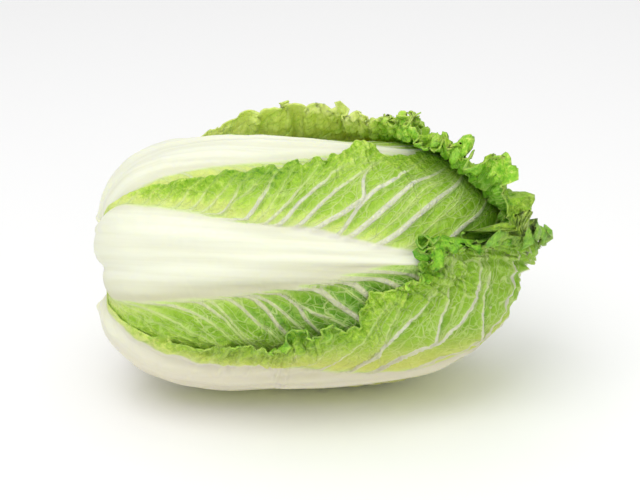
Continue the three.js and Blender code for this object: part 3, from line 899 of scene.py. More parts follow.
@dataclass
class Surface:
    """The grid of one leaf while it is given its form.

    Least facing keeps a steep face from growing too thick, and a rolled edge turns at most by
    the curl's reach, in radians, unevenly over a length in millimetres. The flutes and fibres of
    the rib are given by length, width and height, in millimetres.
    """

    leaf: Leaf
    along: Array
    across: Array
    directions: Array
    bare: Array
    least_facing: float = 0.42
    wave_share: float = 0.45
    fold_height: float = 4.0
    side_shift: float = 40.0
    tip_run: float = 60.0
    drift_depth: float = 34.0
    crinkle_reach: float = 18.0
    curl_reach: float = 2.6
    curl_uneven: float = 19.0
    flute_size: tuple[float, float, float] = (120.0, 5.0, 1.8)
    fibre_size: tuple[float, float, float] = (80.0, 2.4, 0.16)
    # Share of painted shade in the hollows between the rib's ridges.
    hollow_shade_share: float = 0.35
    thinnest: float = 0.02

    def __post_init__(self) -> None:
        """Works out the places that both the form and the finish read."""
        leaf = self.leaf
        self.polar = self.along / DEG
        midrib = np.interp(self.along, leaf.steps, leaf.midrib)
        self.reach = np.interp(self.along, leaf.steps, leaf.length)
        self.run = self.reach * np.cos(0.8 * self.across)
        self.width = np.abs(self.across) * midrib
        self.off_rib = self.width - RIB_HALF_WIDTH(self.polar)
        self.from_rib = self.off_rib + self.side_table("trim")
        slopes = {s: np.gradient(blurred(leaf.outlines[s][None, :], 60)[0], leaf.steps)
                  for s in (1, -1)}
        slope = leaf.by_side(self.across, lambda s: np.interp(
            self.along, leaf.steps, slopes[s]))
        half = leaf.half_width(self.along, self.across)
        side = (half - np.abs(self.across)) * midrib / np.sqrt(1 + slope ** 2)
        end = (leaf.tip - self.along) * midrib
        self.to_edge = np.maximum(0, np.minimum(side, end))
        self.tipward = smooth_step(-3, 3, side - end)
        self.sign = np.where(self.across > 0, 1.0, -1.0)

    def side_table(self, name: str) -> Array:
        """Reads one of the margins' tables by polar angle, each side from its own."""
        leaf = self.leaf
        return leaf.by_side(self.across, lambda s: Curve(
            getattr(leaf.margin(s), name))(self.polar))

    def noise(self, size: float, seed: int) -> Array:
        """Smooth noise over the blade with bumps of a size in millimetres."""
        return lattice_noise(self.run / size, self.sign * self.width / size + 7.3,
                             self.leaf.sizes.seed + seed)

    def lift(self) -> Array:
        """How far the free edge stands off the pile, in millimetres.

        Returns:
            The lift at each point, nothing away from the edge and under a leaf.
        """
        leaf = self.leaf
        lift = self.side_table("lift")
        wave = leaf.by_side(self.across, lambda s: leaf.wave(self.along, s))
        band = np.exp(-(self.to_edge / (leaf.edge_band + 0.6 * lift)) ** 2)
        waved = np.minimum(self.wave_share * lift, leaf.wave_limit) * wave
        return self.bare * band * (lift + waved)

    def formed(self, under: Array) -> Array:
        """Gives the leaf its body, its veins and its crinkled edge.

        Args:
            under: the inner face's distance from the middle of the head.

        Returns:
            The outer face's points, in millimetres from the middle of the head.
        """
        body = self.leaf.thickness(self.along, self.across)
        _, _, normal = self.axes(self.directions * under[..., None])
        facing = np.abs(np.sum(normal * self.directions, axis=-1))
        self.base = under + body / np.maximum(self.least_facing, facing)
        points = self.directions * self.base[..., None]
        self.veins = Veins.traced(self, points)
        forward, sideways, normal = self.axes(points)
        waved, slip = self.ruffles()
        crinkled = self.crumples()
        raised = waved + crinkled + self.veins.relief + self.streaks()
        bent, radius = self.roll()
        turn = bent / radius
        out = radius * (1 - np.cos(turn)) + raised * np.cos(turn)
        step = radius * np.sin(turn) - bent - raised * np.sin(turn)
        outward = (sideways * (self.sign * (1 - self.tipward))[..., None]
                   + forward * self.tipward[..., None])
        edgewise = forward * (1 - self.tipward)[..., None] + sideways * self.tipward[..., None]
        self.fold = np.clip(waved / self.fold_height, -1, 1)
        self.body = body * self.leaf.head.tuck(self.along)
        return (points + normal * out[..., None] + outward * step[..., None]
                + edgewise * slip[..., None])

    def axes(self, points: Array) -> tuple[Array, Array, Array]:
        """Unit vectors along the leaf, across it and out of its face, at each point.

        Args:
            points: a grid of points.

        Returns:
            The three vectors at each point.
        """
        forward = np.gradient(points, axis=0)
        sideways = np.gradient(points, axis=1)
        forward /= np.linalg.norm(forward, axis=-1, keepdims=True) + 1e-9
        sideways -= forward * np.sum(forward * sideways, axis=-1, keepdims=True)
        sideways /= np.linalg.norm(sideways, axis=-1, keepdims=True) + 1e-9
        return forward, sideways, np.cross(forward, sideways)

    def ruffles(self) -> tuple[Array, Array]:
        """The folds of the free edge, which bulge round rather than come to points.

        Returns:
            Two moves in millimetres: out of the face and along the edge.
        """
        seed = self.leaf.sizes.seed
        amount = self.bare * self.side_table("ruffle")
        run = self.reach + self.side_shift * self.sign
        run = run + self.tipward * self.across * self.tip_run
        out, slip = np.zeros_like(run), np.zeros_like(run)
        for k, fold in enumerate(RUFFLES):
            drift = 1.7 * lattice_noise(
                run / (2.1 * fold.length), self.to_edge / self.drift_depth, seed + 5 + k)
            turn = 2 * math.pi * (run / fold.length + drift)
            fade = np.exp(-self.to_edge / (fold.depth * (0.85 + 0.05 * amount)))
            uneven = 0.75 + 0.5 * lattice_noise(
                run / (1.6 * fold.length), 0 * run, seed + 50 + k)
            height = fade * fold.share * amount * uneven
            out += height * (np.sin(turn) + fold.outward)
            bulge = np.minimum(fold.slip * fold.length, 0.5 * height)
            slip -= fade * bulge * np.sin(2 * turn)
        return out, slip

    def crumples(self) -> Array:
        """The blisters of the blade and the fine crinkle of its free edge, in millimetres.

        Returns:
            The height at each point.
        """
        near_edge = np.exp(-self.to_edge / self.crinkle_reach)
        edge = self.bare * self.side_table("ruffle") * near_edge
        blade = smooth_step(2, 12, self.from_rib) * (0.3 + 0.7 * self.bare)
        amount = blade * self.side_table("crumple") + 0.2 * edge
        wide, fine = self.noise(8.5, 12), self.noise(5.2, 13)
        blister = 0.9 - 2.2 * np.abs(self.noise(6.4, 15))
        return (amount * (0.75 * wide + 0.4 * fine + 0.35 * blister)
                + edge * (0.3 * self.noise(4.2, 14) + 0.16 * self.noise(2.5, 16)))

    def roll(self) -> tuple[Array, Array]:
        """How much of the blade is rolled back at the free edge, and round what radius.

        Returns:
            How much is rolled at each point, and the radius, in millimetres.
        """
        uneven = 0.75 + 0.5 * lattice_noise(
            self.reach / self.curl_uneven, 0 * self.reach, self.leaf.sizes.seed + 9)
        curl = self.bare * self.side_table("curl") * np.clip(uneven, 0.15, 1.3)
        radius = self.side_table("bend") + 0.2 * curl
        return np.minimum(np.maximum(0, curl - self.to_edge), self.curl_reach * radius), radius

    def streaks(self) -> Array:
        """The long low ridges of the rib, in millimetres.

        Returns:
            The height at each point, nothing off the rib.
        """
        rib = smooth_step(2, -3, self.from_rib)
        narrow = 11 / RIB_HALF_WIDTH(self.polar)
        off = self.width * self.sign * narrow ** 0.5
        flutes, fibres = (height * lattice_noise(self.reach / length, off / width, 22 + k)
                          for k, (length, width, height) in enumerate(
                              (self.flute_size, self.fibre_size)))
        return rib * (flutes + fibres) * smooth_step(15, 60, self.polar)

    def painted_rib_shade(self) -> Array:
        """Painted shade on the rib, in the hollows between its ridges and at its lower side."""
        lower_rib_shade = self.leaf.by_side(self.across, lambda s: self.leaf.margin(s).lower_rib_shade)
        # Painted shade on the lower side of the rib.
        low = smooth_step(-20, -2, self.off_rib) * lower_rib_shade
        # Painted shade in the hollows between the rib's ridges.
        between = smooth_step(0.3, -1.2, self.streaks())
        return np.clip(self.hollow_shade_share * between + low, 0, 1)

    def weights(self, thickest: float) -> Array:
        """Each point's share of the leaf's greatest thickness."""
        return np.clip(self.body / thickest, self.thinnest, 1)


@dataclass
class Veins:
    """Side veins by number: a point's phase is a whole number on a vein.

    Span is the distance between veins, half is half a vein's width, fork the distance to a
    branch, and relief how far the face is raised. The upper side counts from UPPER. Where no
    path is given, RULED veins come by a rule, RULED_STEP apart, and run RULED_REACH off the rib.
    Copies of the first and last paths go on below and beyond the others. A vein WANDERS off its
    path, flares toward the stem at the rib and leans by FLUSH where it runs into it. Lengths are
    in millimetres.
    """

    phase: Array
    span: Array
    half: Array
    fork: Array
    relief: Array

    UPPER = 60
    RULED = 30
    RULED_STEP = (9, 19)
    RULED_REACH = 80
    BELOW = 24
    BEYOND = 12
    BELOW_STEP = 11
    BEYOND_STEP = 17
    SPANS = (1.5, 60)
    WANDERS = 1.2
    WANDER_SIZE = 26
    FLARE = 4.0
    FLUSH = 5.0
    RIDGE = 1.15
    STRAND = 0.5

    @classmethod
    def traced(cls, surface: Surface, points: Array) -> "Veins":
        """Traces the side veins of a leaf over its grid.

        Args:
            surface: the leaf's grid.
            points: the leaf's outer face before its edge is waved.

        Returns:
            The fields of its veins.
        """
        seed, away = surface.leaf.sizes.seed, surface.off_rib
        phase, half = np.zeros_like(away), np.zeros_like(away)
        outside = np.maximum(0, away)
        wander = cls.WANDERS * surface.noise(cls.WANDER_SIZE, 30) * smooth_step(0, 15, away)
        flare = cls.FLARE * (np.exp(-outside / cls.FLARE) - 0.25)
        reach = surface.reach + flare - cls.FLUSH * np.minimum(0, away)
        for sign in (1, -1):
            here = surface.sign == sign
            off, along = np.maximum(0, outside + wander)[here], reach[here]
            paths, halves = cls.paths(surface.leaf, sign, off)
            steps = np.maximum(0.4, np.diff(paths, axis=0))
            passed = np.clip((along - paths[:-1]) / steps, 0, 1)
            phase[here] = passed.sum(axis=0) + (cls.UPPER if sign > 0 else 0)
            nearest = np.rint(passed.sum(axis=0)).astype(int)
            half[here] = np.take_along_axis(halves, nearest[None], axis=0)[0]
        span = cls.spans(phase, points, surface.sign)
        fork = cls.forks(phase, span, outside, seed)
        relief = cls.raised(surface, phase, span, half)
        return cls(phase, span, half, fork, relief)

    @classmethod
    def paths(cls, leaf: Leaf, sign: int, off: Array) -> tuple[Array, Array]:
        """How far along the leaf each side vein is, some way off the rib.

        Args:
            leaf: the leaf.
            sign: which side of it.
            off: distances from the rib.

        Returns:
            Where the veins are and their half widths, in millimetres, with one row for each
            vein from before the leaf's start to past its tip.
        """
        given = leaf.margin(sign).veins
        draw = np.random.default_rng(leaf.sizes.seed * 10 + sign + 1)
        if not given:
            steep, more = leaf.margin(sign).sweep
            starts = np.cumsum(draw.uniform(*cls.RULED_STEP, size=cls.RULED)) + 12
            halves = 0.4 + 0.8 * draw.random(cls.RULED) * np.minimum(1, starts / 150)
            far = cls.RULED_REACH
            given = tuple(((0, s, h), (far, s + far * (steep + more * s), 0.1 * h))
                          for s, h in zip(starts, halves))
        first, last = given[0], given[-1]
        before = [tuple((o, r - cls.BELOW_STEP * k, 0.4 * h) for o, r, h in first)
                  for k in range(cls.BELOW, 0, -1)]
        after = [tuple((o, r + cls.BEYOND_STEP * k, 0.4 * h) for o, r, h in last)
                 for k in range(1, cls.BEYOND)]
        places, widths = [], []
        for path in (*before, *given, *after):
            offs, reaches, halves = (np.array(column, float) for column in zip(*path))
            lean = (reaches[-1] - reaches[-2]) / (offs[-1] - offs[-2])
            beyond = np.maximum(0, off - offs[-1])
            path = Curve(tuple(zip(offs, reaches)), level_ends=False)
            places.append(path(off) + lean * beyond)
            widths.append(np.interp(off, offs, halves) * np.exp(-beyond / 25))
        return np.maximum.accumulate(np.array(places), axis=0), np.array(widths)

    @classmethod
    def spans(cls, phase: Array, points: Array, sign: Array) -> Array:
        """The distance square to the veins that one whole step of the phase takes.

        Args:
            phase: the vein numbers.
            points: where they are.
            sign: the side of the leaf.

        Returns:
            It, in millimetres.
        """
        slopes = [np.gradient(phase, axis=axis) for axis in (0, 1)]
        jump = np.abs(np.gradient(sign, axis=1)) > 0
        slopes = [np.where(jump, 0, slope) for slope in slopes]
        steps = [np.gradient(points, axis=axis) for axis in (0, 1)]
        aa, ab, bb = (np.sum(steps[i] * steps[j], axis=-1) for i, j in ((0, 0), (0, 1), (1, 1)))
        size = aa * bb - ab * ab + 1e-9
        square = (bb * slopes[0] ** 2 - 2 * ab * slopes[0] * slopes[1] + aa * slopes[1] ** 2)
        return np.clip(1 / np.sqrt(square / size + 1e-9), *cls.SPANS)

    @staticmethod
    def forks(phase: Array, span: Array, away: Array, seed: int) -> Array:
        """How far a point is from a branch of the side veins next to it, in millimetres.

        Args:
            phase: the vein numbers.
            span: the distances between veins.
            away: the distances from the rib.
            seed: the leaf's seed.

        Returns:
            The distance for each point, with its side as its sign.
        """
        number = np.floor(phase)
        share = phase - number

        def branch(vein: Array, f: Array, salt: float) -> Array:
            """The distance to the branch of a vein, at a share f of the way to the next."""
            from_here = 7 + 26 * fraction(vein * GOLDEN + salt + 0.37 * seed)
            reach = 0.3 + 0.28 * fraction(vein * PLASTIC + salt)
            past = np.maximum(0, away - from_here)
            along = np.maximum(0, from_here - away)
            line = reach * (1 - np.exp(-past / 15)) * span
            return np.hypot(f * span - line, along) * np.sign(f * span - line + 1e-6)

        near, far = branch(number, share, 0.1), branch(number + 1, 1 - share, 0.6)
        return np.where(np.abs(near) < np.abs(far), near, far)

    @classmethod
    def raised(cls, surface: Surface, phase: Array, span: Array, half: Array) -> Array:
        """How far the veins stand up and the blade swells between them, in millimetres.

        Args:
            surface: the leaf's grid.
            phase: the vein numbers.
            span: the distances between veins.
            half: the veins' half widths.

        Returns:
            The height at each point.
        """
        away = surface.from_rib
        share = fraction(phase)
        near = np.abs(phase - np.rint(phase)) * span
        ridge = np.exp(-(near / (1.05 * half + 0.7)) ** 2) * cls.RIDGE
        ridge = ridge * np.maximum(0, half - 0.25)
        drop = np.clip(2.4 / span, 0.03, 0.35)
        falling = 1 - (1 - drop ** 0.9) * smooth_step(0, 1, share / drop)
        swell = np.where(share < drop, falling, share ** 0.9) - 0.5
        shingle = surface.leaf.sizes.shingle * np.clip(span / 20, 0, 1) * swell
        blade = smooth_step(0, 12, away) * (0.4 + 0.6 * surface.bare)
        strands = cls.STRAND * np.cos(2 * math.pi * phase) * smooth_step(3, -2, away)
        strands *= (smooth_step(35, 80, surface.polar) * smooth_step(-20, -3, away)
                    * smooth_step(2.4, 4.2, span))
        return (ridge * smooth_step(-4, 3, away) + blade * shingle
                + strands) * smooth_step(0, 7, surface.to_edge)


# ---------------------------------------------------------------------------------------------
# Shader nodes
# ---------------------------------------------------------------------------------------------


class Value:
    """A number that varies over a surface, so that shader maths reads as plain expressions."""

    def __init__(self, shader: "Shader", socket: Any) -> None:
        """Wraps an output socket of a shader's node."""
        self.shader = shader
        self.socket = socket

    def __add__(self, other: Any) -> "Value":
        """Adds."""
        return self.shader.math("ADD", self, other)

    def __radd__(self, other: Any) -> "Value":
        """Adds, with the number first."""
        return self.shader.math("ADD", other, self)

    def __sub__(self, other: Any) -> "Value":
        """Takes away."""
        return self.shader.math("SUBTRACT", self, other)

    def __rsub__(self, other: Any) -> "Value":
        """Takes away from a number."""
        return self.shader.math("SUBTRACT", other, self)

    def __mul__(self, other: Any) -> "Value":
        """Multiplies."""
        return self.shader.math("MULTIPLY", self, other)

    def __rmul__(self, other: Any) -> "Value":
        """Multiplies, with the number first."""
        return self.shader.math("MULTIPLY", other, self)

    def __truediv__(self, other: Any) -> "Value":
        """Divides."""
        return self.shader.math("DIVIDE", self, other)

    def largest(self, other: Any) -> "Value":
        """The larger of two values."""
        return self.shader.math("MAXIMUM", self, other)

    def fraction(self) -> "Value":
        """The part after the whole number."""
        return self.shader.math("FRACT", self, 0.0)

    def distance(self) -> "Value":
        """The value without its sign."""
        return self.shader.math("ABSOLUTE", self, 0.0)

    def rise(self, low: Any, high: Any) -> "Value":
        """A smooth rise from 0 at low to 1 at high, or a fall if high is the smaller."""
        made = self.shader.node("ShaderNodeMapRange", {"interpolation_type": "SMOOTHSTEP"},
                                {"Value": self, "From Min": low, "From Max": high})
        return Value(self.shader, made.outputs["Result"])


class Shader:
    """A material's node tree."""

    def __init__(self, name: str) -> None:
        """Starts an empty material.

        Args:
            name: its name.
        """
        self.material = bpy.data.materials.new(name)
        self.material.use_nodes = True
        self.tree = self.material.node_tree
        self.tree.nodes.clear()

    def node(self, kind: str, settings: dict[str, Any], inputs: dict[Any, Any]) -> Any:
        """Adds a node.

        Args:
            kind: the node's type.
            settings: its own properties, set before its sockets.
            inputs: a number, colour, socket or Value for each socket.

        Returns:
            The node.
        """
        made = self.tree.nodes.new(kind)
        for key, setting in settings.items():
            setattr(made, key, setting)
        for key, given in inputs.items():
            socket = made.inputs[key]
            if isinstance(given, Value):
                given = given.socket
            if isinstance(given, bpy.types.NodeSocket):
                self.tree.links.new(given, socket)
            else:
                socket.default_value = given
        return made

    def math(self, operation: str, a: Any, b: Any) -> Value:
        """A Math node on two values."""
        made = self.node("ShaderNodeMath", {"operation": operation}, {0: a, 1: b})
        return Value(self, made.outputs[0])

    def attribute(self, name: str) -> Value:
        """A number that the mesh holds at each point."""
        made = self.node("ShaderNodeAttribute", {"attribute_name": name}, {})
        return Value(self, made.outputs["Fac"])

    def mix(self, share: Any, first: Any, second: Any) -> Any:
        """A colour between two, as a socket.

        Args:
            share: how much of the second, from 0 to 1.
            first: a colour or a socket.
            second: another.

        Returns:
            The colour.
        """
        made = self.node("ShaderNodeMix", {"data_type": "RGBA"}, {0: share})
        for key, given in ((6, first), (7, second)):
            if isinstance(given, bpy.types.NodeSocket):
                self.tree.links.new(given, made.inputs[key])
            else:
                made.inputs[key].default_value = (*given, 1.0)
        return made.outputs[2]

    def noise(self, vector: Any, scale: float, detail: float = 2.0,
              rough: float = 0.5) -> Value:
        """Smooth noise from 0 to 1, by how many bumps to a unit of the vector."""
        made = self.node("ShaderNodeTexNoise", {}, {
            "Vector": vector, "Scale": scale, "Detail": detail, "Roughness": rough})
        return Value(self, made.outputs["Fac"])

    def cells(self, vector: Any, scale: float, dimensions: str = "3D") -> Value:
        """The distance to the nearest wall of irregular cells, in cells.

        Args:
            vector: where to look.
            scale: how many cells to a unit.
            dimensions: 2D or 3D.

        Returns:
            The distance.
        """
        made = self.node("ShaderNodeTexVoronoi", {
            "feature": "DISTANCE_TO_EDGE", "voronoi_dimensions": dimensions},
            {"Vector": vector, "Scale": scale})
        return Value(self, made.outputs["Distance"])

    def pair(self, x: Value, y: Value) -> Any:
        """Two values as a flat vector, as a socket."""
        return self.node("ShaderNodeCombineXYZ", {}, {"X": x, "Y": y}).outputs[0]

    def height(self, vector: Any) -> Value:
        """The last part of a vector."""
        made = self.node("ShaderNodeSeparateXYZ", {}, {"Vector": vector})
        return Value(self, made.outputs["Z"])

    def mapped(self, vector: Any, scale: Place) -> Any:
        """A vector with each part scaled on its own, as a socket."""
        made = self.node("ShaderNodeMapping", {}, {"Vector": vector, "Scale": scale})
        return made.outputs["Vector"]

    def shifted(self, vector: Any, amount: Value, by: Place) -> Any:
        """A vector moved by a value times a direction, as a socket.

        Args:
            vector: the vector.
            amount: the value.
            by: the direction.

        Returns:
            The moved vector.
        """
        move = self.node("ShaderNodeVectorMath", {"operation": "SCALE"},
                         {0: by, "Scale": amount})
        made = self.node("ShaderNodeVectorMath", {"operation": "ADD"},
                         {0: vector, 1: move.outputs[0]})
        return made.outputs[0]

    def uv(self, name: str) -> Any:
        """The mesh's own flat coordinates, as a socket."""
        return self.node("ShaderNodeUVMap", {"uv_map": name}, {}).outputs["UV"]

    def place(self) -> Any:
        """Places on the object in metres, as a socket."""
        return self.node("ShaderNodeTexCoord", {}, {}).outputs["Object"]

    def bump(self, height: Value, depth: float, strength: float = 1.0) -> Any:
        """A normal from a height of 0 to 1, as a socket."""
        made = self.node("ShaderNodeBump", {}, {
            "Height": height, "Distance": depth, "Strength": strength})
        return made.outputs["Normal"]

    def finish(self, inputs: dict[str, Any]) -> bpy.types.Material:
        """Closes the material with a Principled shader.

        Args:
            inputs: what its sockets are given.

        Returns:
            The material.
        """
        surface = self.node("ShaderNodeBsdfPrincipled", {}, inputs)
        self.node("ShaderNodeOutputMaterial", {}, {"Surface": surface.outputs[0]})
        return self.material


Colour = tuple[float, float, float]


def srgb(code: str) -> Colour:
    """The linear colour of a six-figure colour code."""
    parts = (int(code[i:i + 2], 16) / 255 for i in (0, 2, 4))
    return tuple(p / 12.92 if p <= 0.04045 else ((p + 0.055) / 1.055) ** 2.4 for p in parts)


class LeafFace(Enum):
    """The two faces of a leaf."""

    OUTER = "outer"
    INNER = "inner"


@dataclass
class LeafPattern:
    """The patterns that a leaf's colours and its fine relief are both made from.

    A side vein lies where the phase is whole. Noises and cells are by how many go to a metre,
    and bands are from where a pattern is nothing to where it is full, in millimetres.
    """

    s: Shader
    broad_noise: float = 40.0
    speckle_noise: float = 520.0
    crinkle_noise: float = 330.0
    wide_cells: float = 175.0
    fine_cells: float = 380.0
    net_warps: tuple[tuple[float, Place], ...] = (
        (110.0, (0.006, -0.004, 0.003)), (190.0, (-0.002, 0.003, 0.0045)))
    cross_step: float = 12.5
    cross_lean: float = 0.75
    cross_sway: float = 6.0
    cross_sway_noise: float = 95.0
    frill_band: tuple[float, float] = (26.0, 4.0)
    blade_band: tuple[float, float] = (-0.8, 1.6)
    frill_hides: float = 0.7
    frill_hides_net: float = 0.55

    def __post_init__(self) -> None:
        """Reads the leaf's own fields, then makes the patterns."""
        s = self.s
        self.uv, self.place = s.uv("leaf"), s.place()
        self.phase, self.span = s.attribute("phase"), s.attribute("span")
        self.half, self.fork = s.attribute("half"), s.attribute("fork")
        self.from_rib, self.to_edge = s.attribute("from_rib"), s.attribute("to_edge")
        self.green = s.attribute("green")
        self.broad = s.noise(self.place, self.broad_noise, 3)
        self.speckle = s.noise(self.place, self.speckle_noise, 2)
        self.crinkle = s.noise(self.place, self.crinkle_noise, 3, 0.65)
        self.streaks = s.noise(s.mapped(self.uv, (9, 240, 1)), 1, 3)
        self.frill = self.to_edge.rise(*self.frill_band) * self.green.rise(-0.1, 0.5)
        self.blade = self.from_rib.rise(*self.blade_band)
        self.find_side_veins()
        self.find_cross_veins()
        self.find_net()
        self.gather_veins()

    def find_side_veins(self) -> None:
        """The side veins, the pale halo round each, and their branches."""
        half = self.half
        self.off_vein = ((self.phase + 0.5).fraction() - 0.5).distance() * self.span
        strength = half.rise(0.04, 0.3)
        self.bold_vein = self.off_vein.rise(half + 0.32, half * 0.7) * strength
        halo = self.off_vein.rise(half * 2.2 + 2.2, half * 0.5) * strength
        shown = 1.0 - self.frill * self.frill_hides
        self.side_vein, self.halo = self.bold_vein * shown, halo * shown
        self.branch = self.fork.distance().rise(0.55, 0.14) * half.rise(0.05, 0.25)

    def find_cross_veins(self) -> None:
        """The veins that lean from one side vein out to the next."""
        s = self.s
        sway = (s.noise(self.place, self.cross_sway_noise, 1) - 0.5) * self.cross_sway
        out = self.from_rib - self.off_vein * self.cross_lean + sway
        ladder = s.pair(self.phase * 1.35 + sway * 0.03, out / self.cross_step)
        walls = s.cells(ladder, 1.0, "2D").rise(0.055, 0.018)
        self.cross = walls * self.from_rib.rise(1.0, 6.0)

    def find_net(self) -> None:
        """The net between the veins, in two sizes of warped cells."""
        s, warped = self.s, self.place
        for noise, reach in self.net_warps:
            warped = s.shifted(warped, s.noise(self.place, noise, 1) - 0.5, reach)
        self.wide_wall = s.cells(warped, self.wide_cells)
        self.wide = self.wide_wall.rise(0.085, 0.03)
        self.fine = s.cells(warped, self.fine_cells).rise(0.1, 0.03)

    def gather_veins(self) -> None:
        """All the veins as one share, the fine ones stronger where the blade is greener."""
        fading = self.s.noise(self.place, 60, 1).rise(0.3, 0.6)
        greener = self.green.rise(0.05, 0.45)
        inside = self.to_edge.rise(2.0, 9.0)
        cross = self.cross * (0.35 + 0.4 * fading + 0.2 * greener)
        net = self.wide * (0.12 + (0.18 + 0.32 * greener) * inside * fading)
        veins = self.bold_vein.largest(self.branch * 0.75).largest(cross)
        veins = veins.largest(net).largest(self.fine * 0.12)
        veins = veins * (0.45 + 0.55 * self.to_edge.rise(0.0, 16.0))
        self.veins = veins * (1.0 - self.frill * self.frill_hides_net)


@dataclass(frozen=True)
class LeafFinish:
    """The colours and the fine relief of one face of a leaf.

    The low bands are heights in metres over which painted warm shade comes into the rib and
    painted warm light into the blade, towards the bottom of the head.
    """

    name: str
    face: LeafFace
    pale: Colour
    light: Colour
    middle: Colour
    deep: Colour
    vein: Colour
    rib: Colour
    rib_shade: Colour
    # Painted warm shade for the rib and painted warm light for the blade, towards the bottom of
    # the head.
    bottom_rib_painted_shade: Colour = srgb("DDD2BC")
    bottom_blade_painted_warmth: Colour = srgb("E8E47C")
    bottom_rib_shade_band: tuple[float, float] = (0.08, 0.03)
    bottom_blade_warmth_band: tuple[float, float] = (0.075, 0.035)
    roughness: float = 0.45
    relief: float = 0.0019
    inner_relief: float = -0.8

    def build(self) -> bpy.types.Material:
        """Makes the material.

        Returns:
            It, reading the leaf's own fields.
        """
        s = Shader(self.name)
        leaf = LeafPattern(s)
        colour, flesh = self.blade_colour(s, leaf), self.rib_colour(s, leaf)
        edge = leaf.from_rib + (leaf.broad - 0.5) * 2.0
        colour = s.mix(edge.rise(1.2, -1.6), colour, flesh)
        colour = s.mix(leaf.side_vein * leaf.half.rise(0.45, 1.1) * 0.85, colour, flesh)
        return s.finish({
            "Base Color": colour,
            "Roughness": self.roughness + (leaf.broad - 0.5) * 0.12 + leaf.blade * 0.05,
            "Normal": s.bump(self.height(leaf), self.relief, 0.9),
            "Subsurface Weight": 0.45, "Subsurface Radius": (0.9, 1.0, 0.3),
            "Subsurface Scale": 0.0025, "Specular IOR Level": 0.28})

    def depth(self, leaf: LeafPattern) -> Value:
        """How deep the blade's green is: paler by the veins and the rib, deeper in a frill,
        with painted light and shade on the frill's crinkle and painted shade past the veins.

        Args:
            leaf: the leaf's patterns.

        Returns:
            It, from under 0 to over 1.
        """
        half, past = leaf.half, leaf.phase.fraction() * leaf.span
        # Painted light and shade on the frill's crinkle, following the noise that also raises its
        # relief.
        crinkle_light_and_shade = (0.46 - leaf.crinkle) * leaf.frill
        depth = leaf.green + (leaf.broad - 0.5) * 0.7 - leaf.halo * 0.1 + crinkle_light_and_shade * 2.6
        depth = depth - leaf.from_rib.rise(15, 0) * 0.45 + leaf.wide_wall.rise(0.0, 0.3) * 0.08
        # Painted shade in the crease just past each side vein.
        crease_shade = past.rise(5.0, half + 0.6) * past.rise(half, half + 0.8) * half.rise(0.5, 1.2)
        return depth + crease_shade * 0.45

    def blade_colour(self, s: Shader, leaf: LeafPattern) -> Any:
        """The green blade with its veins, as a socket.

        Args:
            s: the material's shader.
            leaf: the leaf's patterns.

        Returns:
            The colour.
        """
        depth = self.depth(leaf)
        colour = s.mix(depth.rise(-0.35, 0.12), self.pale, self.light)
        colour = s.mix(depth.rise(-0.05, 0.5), colour, self.middle)
        colour = s.mix(depth.rise(0.45, 1.2), colour, self.deep)
        colour = s.mix(leaf.speckle.rise(0.42, 0.75) * 0.16, colour, self.light)
        colour = s.mix(leaf.halo * 0.25, colour, self.vein)
        colour = s.mix(leaf.veins * 0.75, colour, self.vein)
        # Painted warm light: the blade yellower towards the bottom of the head.
        low = s.height(leaf.place).rise(*self.bottom_blade_warmth_band)
        colour = s.mix(low * 0.7, colour, self.bottom_blade_painted_warmth)
        near_rib = leaf.from_rib.rise(7.5, 0.0) * (0.35 + 0.65 * leaf.halo)
        colour = s.mix(near_rib * 0.85, colour, self.vein)
        return s.mix(leaf.to_edge.rise(1.2, 0.2) * 0.2, colour, self.vein)

    def rib_colour(self, s: Shader, leaf: LeafPattern) -> Any:
        """The white rib, streaked along its length, with painted shade at its edges, in its
        hollows, on its lower side and towards the bottom of the head.

        Args:
            s: the material's shader.
            leaf: the leaf's patterns.

        Returns:
            The colour, as a socket.
        """
        flesh = s.mix(leaf.streaks.rise(0.38, 0.82) * 0.3, self.rib, self.rib_shade)
        # Painted shade along the edges of the rib.
        flesh = s.mix(leaf.from_rib.rise(-7, -1) * 0.3, flesh, self.rib_shade)
        # Painted shade in the rib's hollows and on its lower side.
        flesh = s.mix(s.attribute("painted_rib_shade"), flesh, self.rib_shade)
        # Painted warm shade on the rib towards the bottom of the head.
        return s.mix(s.height(leaf.place).rise(*self.bottom_rib_shade_band) * 0.65, flesh, self.bottom_rib_painted_shade)

    def height(self, leaf: LeafPattern) -> Value:
        """The fine relief, from 0 to 1, which the inner face has turned round.

        Args:
            leaf: the leaf's patterns.

        Returns:
            The relief.
        """
        sign = 1.0 if self.face is LeafFace.OUTER else self.inner_relief
        puffed = leaf.wide_wall.rise(0.0, 0.42) * 0.6
        ridges = (leaf.branch + leaf.side_vein + leaf.cross) * 0.45
        ridges = ridges + leaf.wide * 0.3 + leaf.fine * 0.18 + puffed
        ridges = ridges + leaf.crinkle * leaf.frill * 2.4
        on_rib = (leaf.streaks - 0.5) * 0.12 * (1.0 - leaf.blade)
        on_blade = (leaf.speckle - 0.5) * 0.12 * leaf.blade
        return ridges * leaf.blade * (0.5 * sign) + 0.5 + on_rib + on_blade


OUTER_FINISH = LeafFinish(
    name="leaf_outer_face", face=LeafFace.OUTER, pale=srgb("DDEE7E"),
    light=srgb("BBDF50"), middle=srgb("93C02A"), deep=srgb("5A960E"),
    vein=srgb("D3E894"), rib=srgb("ECEEDA"), rib_shade=srgb("CBCAA8"))
INNER_FINISH = LeafFinish(
    name="leaf_inner_face", face=LeafFace.INNER, pale=srgb("E8FA94"),
    light=srgb("C4EA5C"), middle=srgb("8ECB2E"), deep=srgb("4E9A0E"),
    vein=srgb("C9E880"), rib=srgb("F0F2DF"), rib_shade=srgb("E2E8CA"))


